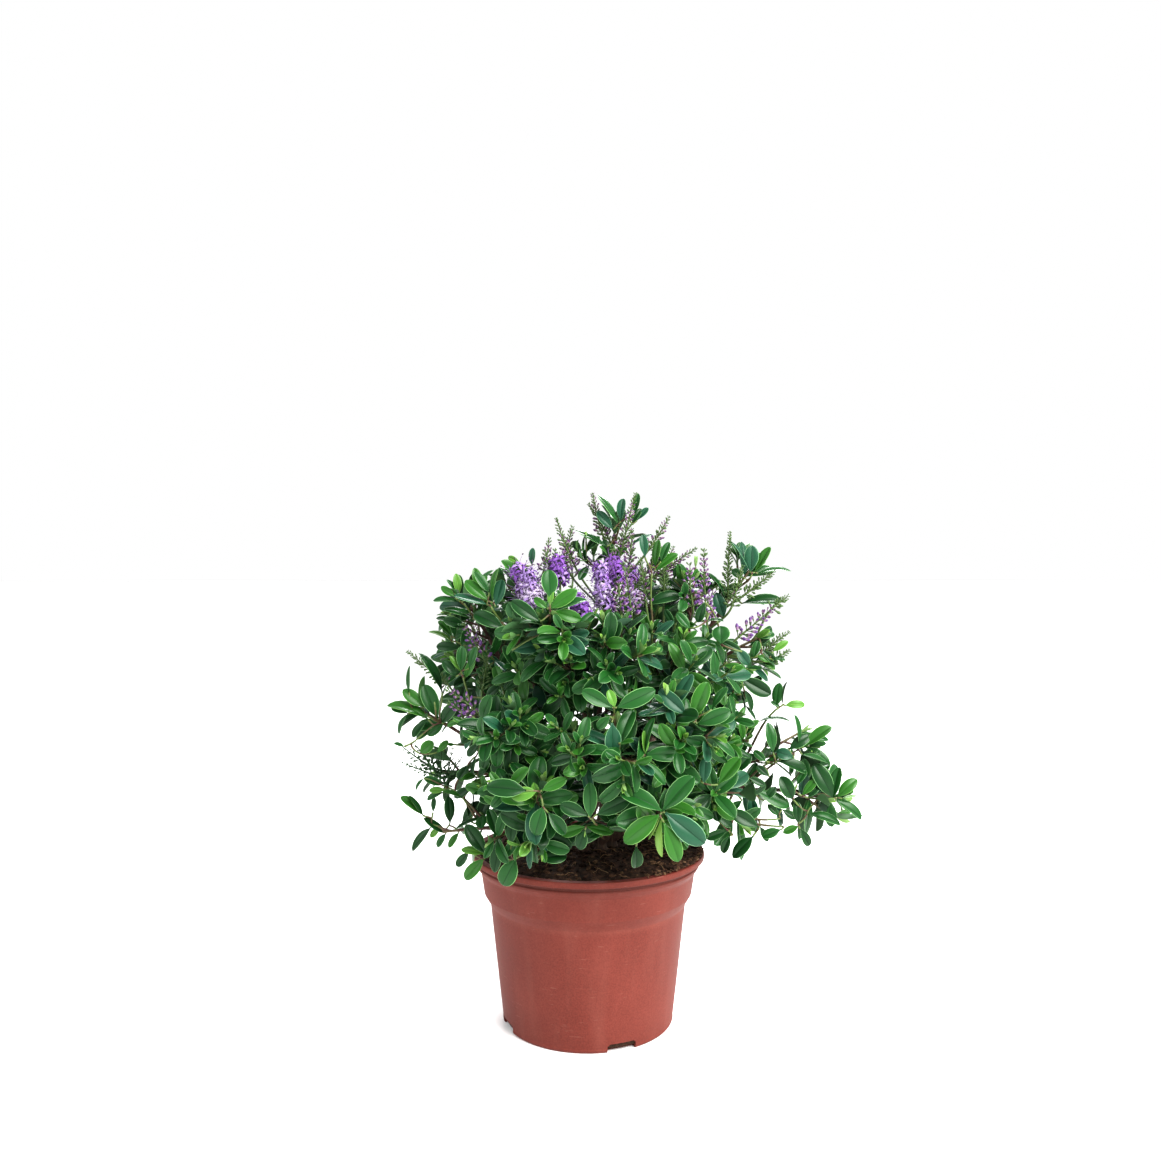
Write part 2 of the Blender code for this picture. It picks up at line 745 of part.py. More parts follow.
def islands(bm):
    """The separate bodies of a mesh, as lists of faces."""
    left = set(bm.faces)
    found = []
    while left:
        waiting = [left.pop()]
        body = []
        while waiting:
            face = waiting.pop()
            body.append(face)
            linked = {other for edge in face.edges for other in edge.link_faces}
            waiting += linked & left
            left -= linked
        found.append(body)
    return found


def keep_largest(mesh):
    """Fills every sealed hollow and drops every loose scrap, by keeping only the outer skin."""
    bm = bmesh.new()
    bm.from_mesh(mesh)
    bodies = sorted(islands(bm), key=len)
    for body in bodies[:-1]:
        bmesh.ops.delete(bm, geom=body, context="FACES")
    bm.to_mesh(mesh)
    bm.free()


def fuse(name, pieces, finish, group):
    """Joins the pieces of a mass into one closed body by one union on their collection."""
    bodies = list(pieces.objects)
    base = bodies[0]
    pieces.objects.unlink(base)
    group.objects.link(base)
    join = base.modifiers.new("join", "BOOLEAN")
    join.operation = "UNION"
    join.operand_type = "COLLECTION"
    join.collection = pieces
    join.solver = "EXACT"
    graph = bpy.context.evaluated_depsgraph_get()
    mesh = bpy.data.meshes.new_from_object(base.evaluated_get(graph))
    for body in bodies:
        bpy.data.objects.remove(body)
    bpy.data.collections.remove(pieces)
    keep_largest(mesh)
    mesh.name = name
    mesh.materials.clear()
    mesh.materials.append(finish)
    obj = bpy.data.objects.new(name, mesh)
    group.objects.link(obj)
    return obj


def skin_of(obj):
    """The surface of an object as it is evaluated, for measuring distances to it."""
    graph = bpy.context.evaluated_depsgraph_get()
    mesh = bpy.data.meshes.new_from_object(obj.evaluated_get(graph))
    bm = bmesh.new()
    bm.from_mesh(mesh)
    tree = BVHTree.FromBMesh(bm)
    bm.free()
    bpy.data.meshes.remove(mesh)
    return tree


def seat_twig(twig, skins):
    """Moves the start of a twig that springs from a stem's side up to the gap from that stem."""
    start, tip = twig
    axis = (tip - start).normalized()
    while True:
        nearer = start - axis * SEAT_STEP
        bm = twig_mesh(nearer + axis * GAP, tip, TWIG_RADIUS, TWIG_RADIUS)
        corners = sorted((vert.co.copy() for vert in bm.verts), key=lambda point: (point - tip).length)[3:]
        bm.free()
        edges = [corners[index - 1].lerp(corners[index], share) for index in range(3) for share in (0.0, 0.5)]
        if min(skin.find_nearest(point)[3] for skin in skins for point in edges) < GAP:
            return [start, tip]
        start = nearer


def limb_guard(limbs):
    """Every limb a little fatter, for testing twigs and leaves against."""
    bm = bmesh.new()
    for limb in limbs:
        for index in range(len(limb.path) - 1):
            first = limb.radii[index] + LIMB_CLEARANCE
            last = limb.radii[index + 1] + LIMB_CLEARANCE
            add_cone(bm, limb.path[index], limb.path[index + 1], first, last, sides=8)
    guard_top = POT_HEIGHT + SOIL_MOUND + POT_CLEARANCE / 2
    guard_radius = LIP_RADIUS + POT_CLEARANCE
    add_cone(bm, Vector((0.0, 0.0, 0.0)), UP * guard_top, FOOT_RADIUS, guard_radius, sides=32)
    tree = BVHTree.FromBMesh(bm)
    bm.free()
    return tree


def main():
    clear_scene()
    plant = collection("potted_hebe")
    cutters = collection("cutters", hidden=True)
    bark = material("bark", (0.115, 0.062, 0.040), 0.80)
    leaves = material("leaves", (0.045, 0.135, 0.046), 0.42)

    make_pot(plant, cutters)
    make_soil(plant)

    limbs, twigs = grow_limbs()
    tubes = [tube(limb.name, limb.path, limb.radii, plant, bark) for limb in limbs]
    skins = [skin_of(limb) for limb in tubes]
    for name, _, carrier in MASSES:
        if carrier == "direct":
            twigs[name] = seat_twig(twigs[name], skins)

    spaces = part_spaces(twigs)
    guard = limb_guard(limbs)
    masses = {}
    for mass in MASSES:
        name = mass[0]
        masses[name] = Mass(name, twigs[name], spaces[name], guard, collection(name + "_pieces"))
        masses[name].grow()
    for blooming, base, end in FLOWERS:
        place_raceme(masses.values(), blooming, Vector(base), Vector(end))
    for name, mass in masses.items():
        fuse("foliage_" + name, mass.group, leaves, plant)


main()
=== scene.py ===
"""A young hebe shrub in its round nursery pot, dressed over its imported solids, in metres with +Z up.

The stems, boughs and masses follow the same rule as the solids. The rule is carried on to side shoots,
sprigs, pairs of leaves and flower spikes, each shoot growing from the one that carries it.
"""

import math
import random

import bmesh
import bpy
import numpy as np
from mathutils import Matrix, Vector, noise
from mathutils.bvhtree import BVHTree


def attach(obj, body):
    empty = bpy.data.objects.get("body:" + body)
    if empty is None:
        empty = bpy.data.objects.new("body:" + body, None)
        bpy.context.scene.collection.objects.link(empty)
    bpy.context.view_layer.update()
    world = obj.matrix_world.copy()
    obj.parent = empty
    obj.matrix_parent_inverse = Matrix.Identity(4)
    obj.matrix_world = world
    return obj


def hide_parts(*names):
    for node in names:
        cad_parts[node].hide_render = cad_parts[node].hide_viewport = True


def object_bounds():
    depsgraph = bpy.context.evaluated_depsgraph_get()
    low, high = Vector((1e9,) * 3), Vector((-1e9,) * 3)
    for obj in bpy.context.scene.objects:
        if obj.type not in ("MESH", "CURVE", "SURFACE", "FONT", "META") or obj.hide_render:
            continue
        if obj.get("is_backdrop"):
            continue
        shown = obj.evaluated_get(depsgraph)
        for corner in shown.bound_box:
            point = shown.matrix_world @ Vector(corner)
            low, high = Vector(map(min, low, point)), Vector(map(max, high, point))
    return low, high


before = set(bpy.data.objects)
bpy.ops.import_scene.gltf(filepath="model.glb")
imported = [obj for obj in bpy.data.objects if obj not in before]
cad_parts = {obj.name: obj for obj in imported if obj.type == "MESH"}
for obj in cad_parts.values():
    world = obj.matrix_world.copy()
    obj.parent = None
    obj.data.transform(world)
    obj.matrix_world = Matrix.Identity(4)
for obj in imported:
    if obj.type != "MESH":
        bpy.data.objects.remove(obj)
cad_low, cad_high = (Vector(corner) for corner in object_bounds())

# Camera, from the photograph's frame of 1161 pixels a side
FRAME_SIZE = 1161
AXIS_COLUMN = 588
FOCAL_PIXELS = 1018
SENSOR = 36.0
CAMERA_PLACE = (0.0, -0.750, 0.329)
CAMERA_PITCH = math.radians(-0.6)
CONTRAST_GAMMA = 0.845

# Floor, and the lamps: their name, place, what they look at, size, power and colour
FLOOR_RADIUS = 30.0
LAMPS = (
    ("key", (1.3, -1.2, 1.5), (0.0, 0.0, 0.20), 1.6, 112.0, (1.0, 0.985, 0.96)),
    ("fill", (-1.4, -1.0, 1.0), (0.0, 0.0, 0.18), 1.4, 14.0, (0.96, 0.98, 1.0)),
    ("rim", (0.3, 1.5, 1.5), (0.0, 0.0, 0.25), 1.0, 40.0, (1.0, 1.0, 1.0)),
)

# Pot, as outer radii and heights
POT_HEIGHT = 0.1235
LIP_RADIUS = 0.0853
LIP_DEPTH = 0.0042
LIP_ROUNDING = 0.0011
RIM_RADIUS = 0.0796
INNER_FLARE_Z = 0.1180
SKIRT_TOP_RADIUS = 0.0786
SKIRT_TOP_Z = 0.1098
SKIRT_FOOT_RADIUS = 0.0758
SKIRT_FOOT_Z = 0.0935
BODY_TOP_RADIUS = 0.0716
BODY_TOP_Z = 0.0868
FOOT_RADIUS = 0.0620
FOOT_BEVEL = 0.0007
WALL = 0.0014
FLOOR = 0.0022
NOTCH_WIDTH = 0.021
NOTCH_HEIGHT = 0.006
NOTCH_INNER_RADIUS = 0.0565
NOTCH_OUTER_RADIUS = 0.0680
NOTCH_COUNT = 4
NOTCH_TURN = math.radians(-68)
POT_STEPS = 160
SOFT_EDGE = 0.0006

# Soil
GAP = 0.0003
SOIL_EDGE_DROP = 0.0016
SOIL_MOUND = 0.0030
SOIL_RINGS = 60
SOIL_SPOKES = 180
SOIL_LUMP = 0.0012
CRUMBS = 1700
CRUMB_SIZES = (0.0005, 0.0022)
FIBRES = 150
FIBRE_LENGTHS = (0.005, 0.016)
FIBRE_RADIUS = 0.00022
HEAP_FROM = math.radians(-62)
HEAP_TO = math.radians(22)
HEAP_CRUMBS = 420
HEAP_RISE = 0.0030
HEAP_INSIDE = 0.55
HEAP_SPAN = 0.45

# Limbs
STEM_RING = 0.0180
STEM_RADIUS = 0.0034
STEM_TIP_RADIUS = 0.0019
STEM_FLARE = 1.5
STEM_FOOT = 0.0050
BOUGH_TIP_RADIUS = 0.0015
BOUGH_SHARE = 0.80
LIMB_POINTS = 5
ARCH = 0.05
BEND_PLACE = 0.48
STRAIGHTNESS = 2.2
FORK_SPACING = 0.013
WIDEST_FORK = math.radians(52)
FORK_SHARE = 0.22
PATH_SAMPLES = 14
PATH_CLEARANCE = 0.0040
FORK_FRACTIONS = [0.26 + 0.05 * step for step in range(13)]
BARK_STEP = 0.0013
BARK_SIDES = 14
BARK_RELIEF = 0.085
BARK_RING_SPACING = 0.0115
BARK_RING_SWELL = 0.16

# Foliage
TWIG_LENGTH = 0.094
MOST_OF_PATH = 0.62
TWIG_RADIUS = 0.0014
TWIG_TIP_RADIUS = 0.0008
SHOOT_RADIUS = 0.00095
SHOOT_TIP_RADIUS = 0.00062
GIRTH = 0.053
TIP_GIRTH = 0.034
LOWEST_LEAF = 0.1105
SPACE_OVERLAP = 0.009
TWIG_SPACING = 0.0034
NEAREST_ROUNDS = 80
FAIR_SHARES = (0.0, 0.2, 0.4, 0.6, 0.8, 1.0)
TIP_MARGIN = 0.004
LIMB_CLEARANCE = 0.0004
POT_CLEARANCE = 0.0012
LEAF_LENGTH = 0.0305
LEAF_WIDTH = 0.445
LOW_LEAF = (0.140, 1.02)
HIGH_LEAF = (0.340, 0.80)
NODE_SPACING = 0.0112
SHOOT_NODE_SPACING = 0.0100
SHOOT_LENGTH = 0.046
SPRIG_LENGTH = 0.022
SHORTEST_SHOOT = 0.008
SHOOT_ANGLE = math.radians(50)
SHOOT_LIFT = 0.30
SHOOT_OUT = 0.30
SPRIG_SPACING = 0.010
SHOOT_STEP = 0.0028
SHOOT_CUTS = 4
SHOOT_CUT = 0.78
LEAF_TRIES = 7
LEAF_SKY = 0.14
LEAF_ROLL = 0.38
MAIN_END_SHARE = 0.62
SIDE_TURN = 0.85
OPEN_SPREAD = 1.18
OPEN_UNTIL_Z = 0.240
UPRIGHT_SPREAD = 0.72
UPRIGHT_FROM_Z = 0.340
PARTING_Y = 0.035
BOX_ALLOWANCE = 0.004
SEED = 36

# Pairs this near the end of a shoot that ends in front of this depth are drawn finely
FINE_REACH = 0.018
FINE_UNTIL_Y = 0.0

# A leaf that shows singly: how near a shoot it sits on that shoot, how far its foot is sunk towards it,
# the step of a twig of its own, its least true width, and how far it may roll beyond what is seen
PETIOLE = 0.0016
SINK_SHARE = 0.85
OWN_TWIG_STEP = 0.0026
WIDTH_SEEN_FULL = 0.42
EXTRA_ROLL = 0.35

# What shows singly isn't hidden by what grows later: from how much nearer, and over what share of its reach
SHOWN_DEPTH = 0.002
SHOWN_SHARE = 0.70

# How far along a main twig, a shoot and a sprig are brown, how much further olive, and how nodes swell
BROWN_UNTIL = (0.70, 0.40, 0.15)
OLIVE_SHARE = 0.30
NODE_SWELL = 0.22
NODE_SWELL_REACH = 0.0012

# How leaves vary: width, bend along them, twist, fold at the rib, droop of the edges, and widest place
WIDTH_RANGE = (0.88, 1.10)
BEND_RANGE = (0.10, 0.85)
TWIST_RANGE = (-0.30, 0.30)
FOLD_RANGE = (0.7, 1.25)
DROOP_RANGE = (0.32, 0.50)
WIDEST_RANGE = (0.92, 1.15)
YOUNG_WIDTH = 0.36
YOUNG_FOLD = 0.95

# The bare foot of a keyed shoot and of a main twig, how many pairs a main twig lacks, the leaves of keyed
# shoots beside their rosette's, and the length from which a shoot has sprigs of its own
KEY_BARE_FOOT = 0.008
MAIN_BARE_FOOT = 0.012
MAIN_BARE_SHARE = 0.15
KEY_LEAF_SHARE = 0.92
LONG_KEY_SHOOT = 0.022
LONG_SHOOT = 0.020

# Every mass of foliage: its name, the place of its furthest tip, and what carries it there
MASSES = (
    ("crown_top", (0.023, 0.015, 0.383), "stem"),
    ("bloom_left", (-0.048, -0.020, 0.342), "bough"),
    ("bloom_right", (0.080, 0.000, 0.350), "bough"),
    ("upper_right", (0.134, 0.010, 0.346), "stem"),
    ("upper_left", (-0.102, 0.010, 0.326), "stem"),
    ("left_shoulder", (-0.122, 0.036, 0.280), "bough"),
    ("left_side", (-0.140, -0.015, 0.236), "stem"),
    ("left_low", (-0.128, 0.010, 0.174), "bough"),
    ("left_foot", (-0.120, -0.046, 0.144), "bough"),
    ("left_rim", (-0.074, -0.096, 0.147), "stem"),
    ("right_foot", (0.116, -0.050, 0.142), "bough"),
    ("right_low", (0.200, -0.015, 0.160), "stem"),
    ("right_side", (0.176, 0.015, 0.216), "bough"),
    ("right_shoulder", (0.140, -0.020, 0.288), "bough"),
    ("front_low_left", (-0.034, -0.120, 0.190), "bough"),
    ("front_low", (0.006, -0.104, 0.158), "direct"),
    ("front_low_right", (0.054, -0.130, 0.176), "stem"),
    ("front_right", (0.078, -0.102, 0.244), "bough"),
    ("front_middle", (0.020, -0.124, 0.232), "bough"),
    ("front_upper", (0.018, -0.090, 0.300), "stem"),
    ("front_upper_left", (-0.036, -0.082, 0.310), "bough"),
    ("front_left", (-0.068, -0.090, 0.235), "bough"),
    ("right_front_low", (0.108, -0.084, 0.190), "direct"),
    ("heart_left", (-0.030, -0.020, 0.258), "direct"),
    ("heart_right", (0.052, -0.030, 0.262), "direct"),
    ("back_top_left", (-0.050, 0.085, 0.315), "bough"),
    ("back_top_right", (0.065, 0.088, 0.318), "stem"),
    ("back_left", (-0.108, 0.098, 0.232), "bough"),
    ("back_right", (0.118, 0.100, 0.238), "bough"),
    ("back_low_left", (-0.070, 0.130, 0.170), "bough"),
    ("back_low_right", (0.066, 0.138, 0.176), "stem"),
)

# The masses that each joined piece of leaves stands for
REGIONS = {
    "top": ("crown_top", "bloom_left", "bloom_right", "front_upper", "heart_left"),
    "left": ("upper_left", "left_shoulder", "left_side", "left_low", "left_foot", "left_rim", "front_left",
             "front_upper_left", "back_left"),
    "right": ("upper_right", "right_foot", "right_low", "right_side", "right_shoulder", "back_right",
              "heart_right"),
    "front": ("front_low_left", "front_low", "front_low_right", "front_right", "front_middle",
              "right_front_low"),
    "back": ("back_top_left", "back_top_right", "back_low_left", "back_low_right"),
}

# How much of its side growth each mass keeps, where the crown is open
FULLNESS = {
    "right_low": 0.38,
    "right_side": 0.45,
    "right_foot": 0.50,
    "right_front_low": 0.75,
    "right_shoulder": 0.65,
    "upper_right": 0.60,
    "left_side": 0.35,
    "left_low": 0.25,
    "left_foot": 0.35,
    "left_rim": 0.45,
    "left_shoulder": 0.65,
    "upper_left": 0.65,
    "crown_top": 0.60,
    "bloom_left": 0.80,
}

# Shoots that show singly: the column, row and depth of the node under the end rosette, the shoot's
# heading, the turn of its first pair in degrees up from the right, the length of its longest leaves and
# how far those open
KEY_SHOOTS = (
    ((570, 751, -0.112), (-0.10, -0.9, 0.7), 10, 0.0190, 1.30),
    ((555.7, 726, -0.098), (-0.5, -0.8, 0.5), 30, 0.0150, 1.10),
    ((716, 792, -0.096), (0.5, -0.8, 0.5), 35, 0.0240, 1.20),
    ((606.7, 666, -0.094), (-0.2, -0.8, 0.8), 40, 0.0220, 1.25),
    ((577, 549, 0.002), (-0.7, -0.1, 0.6), 20, 0.0200, 0.90),
    ((604, 640, -0.090), (0.1, -0.7, 0.8), 70, 0.0220, 1.15),
    ((640, 652, -0.092), (0.3, -0.7, 0.8), 0, 0.0250, 1.20),
    ((603, 622, -0.080), (0.1, -0.6, 0.9), 20, 0.0220, 1.10),
    ((694, 662, -0.066), (0.3, -0.7, 0.8), 40, 0.0240, 1.20),
    ((728, 672, -0.060), (0.5, -0.6, 0.7), 15, 0.0230, 1.20),
    ((684, 638, -0.050), (0.3, -0.6, 0.9), 10, 0.0230, 1.15),
    ((516, 668, -0.060), (-0.3, -0.7, 0.7), 20, 0.0230, 1.15),
    ((560, 696, -0.076), (-0.2, -0.8, 0.6), 45, 0.0230, 1.20),
    ((580, 684, -0.070), (0.1, -0.8, 0.6), 5, 0.0230, 1.20),
    ((497, 738, -0.088), (-0.2, -0.9, 0.4), 85, 0.0190, 1.20),
    ((520, 715, -0.080), (-0.2, -0.8, 0.6), 30, 0.0230, 1.20),
    ((486, 790, -0.060), (-0.5, -0.7, 0.4), 60, 0.0220, 1.15),
    ((472, 776, -0.046), (-0.6, -0.6, 0.4), 35, 0.0210, 1.10),
    ((480, 812, -0.056), (-0.5, -0.7, 0.2), 10, 0.0210, 1.15),
    ((728, 740, -0.050), (0.6, -0.6, 0.4), 25, 0.0210, 1.15),
    ((738, 716, -0.036), (0.7, -0.5, 0.4), 65, 0.0200, 1.15),
    ((588, 712, -0.056), (0.0, -0.8, 0.5), 15, 0.0210, 1.25),
    ((612, 704, -0.040), (0.0, -0.8, 0.6), 50, 0.0220, 1.25),
    ((640, 714, -0.056), (0.2, -0.8, 0.5), 80, 0.0210, 1.25),
    ((566, 690, -0.040), (-0.2, -0.8, 0.6), 60, 0.0210, 1.20),
    ((572, 664, -0.034), (-0.1, -0.8, 0.7), 35, 0.0220, 1.20),
    ((586, 640, -0.030), (0.0, -0.7, 0.8), 75, 0.0210, 1.15),
    ((556, 636, -0.034), (-0.2, -0.7, 0.8), 10, 0.0210, 1.15),
    ((590, 690, 0.010), (0.0, -0.6, 0.8), 20, 0.0230, 1.25),
    ((630, 700, 0.020), (0.0, -0.6, 0.8), 60, 0.0230, 1.25),
    ((741, 694, -0.030), (0.6, -0.6, 0.5), 40, 0.0190, 1.10),
    ((746, 738, -0.028), (0.7, -0.5, 0.4), 10, 0.0180, 1.10),
    ((727, 662, -0.044), (0.5, -0.6, 0.6), 70, 0.0190, 1.10),
    ((652, 630, -0.054), (0.1, -0.6, 0.9), 30, 0.0200, 1.10),
    ((676, 622, -0.038), (0.2, -0.6, 0.9), 60, 0.0190, 1.05),
    ((628, 636, -0.072), (0.0, -0.6, 0.9), 0, 0.0200, 1.10),
    ((704, 640, -0.034), (0.3, -0.6, 0.8), 15, 0.0190, 1.10),
    ((486, 650, -0.030), (-0.4, -0.6, 0.7), 45, 0.0190, 1.10),
    ((500, 682, -0.050), (-0.3, -0.7, 0.6), 15, 0.0200, 1.15),
    ((454, 744, -0.020), (-0.7, -0.5, 0.3), 40, 0.0180, 1.10),
)

# Stems of shoots whose leaves are all listed below: the column, row and depth of the end, and the heading
KEY_STEMS = (
    ((661, 812, -0.122), (0.10, -1.0, 0.30)),
    ((592, 818, -0.112), (0.0, -0.9, 0.6)),
    ((645, 754, -0.110), (0.1, -0.8, 0.8)),
    ((614, 707, -0.104), (0.0, -1.0, 0.7)),
    ((695, 718, -0.098), (0.25, -0.8, 0.8)),
    ((540, 791, -0.112), (0.05, -1.0, 0.5)),
    ((586, 826, -0.100), (0.1, -1.0, 0.1)),
    ((757, 720, -0.020), (0.6, -0.1, 0.4)),
    ((779, 707, -0.020), (0.8, -0.1, 0.4)),
    ((741, 783, -0.032), (0.9, -0.1, 0.35)),
    ((770, 762, -0.030), (0.9, -0.1, 0.30)),
    ((797, 750, -0.030), (0.9, -0.1, 0.30)),
    ((780, 818, -0.034), (0.9, -0.1, 0.40)),
    ((833, 798, -0.034), (0.9, -0.1, 0.15)),
    ((733, 834, -0.050), (0.9, -0.2, -0.1)),
    ((783, 826, -0.044), (0.9, -0.2, 0.10)),
    ((619, 526, 0.004), (-0.03, -0.15, 1.0)),
    ((652, 573, -0.030), (0.2, -0.2, 1.0)),
    ((752, 574, -0.002), (0.10, -0.1, 1.0)),
    ((722, 646, -0.030), (0.1, -0.2, 1.0)),
    ((550, 611, -0.088), (-0.05, -0.75, 0.75)),
    ((491, 606, -0.040), (-0.45, -0.3, 1.0)),
    ((464, 603, -0.012), (-0.5, -0.2, 0.8)),
    ((456, 641, 0.000), (-0.7, -0.2, 0.5)),
    ((463, 677, -0.040), (-0.2, -0.4, 1.0)),
    ((441, 722, -0.020), (-0.8, -0.2, 0.25)),
    ((448, 787, -0.030), (-0.8, -0.3, 0.2)),
    ((432, 824, -0.034), (-0.8, -0.3, 0.2)),
    ((486, 854, -0.072), (-0.9, -0.3, 0.0)),
    ((540, 855, -0.086), (0.9, -0.3, 0.1)),
)

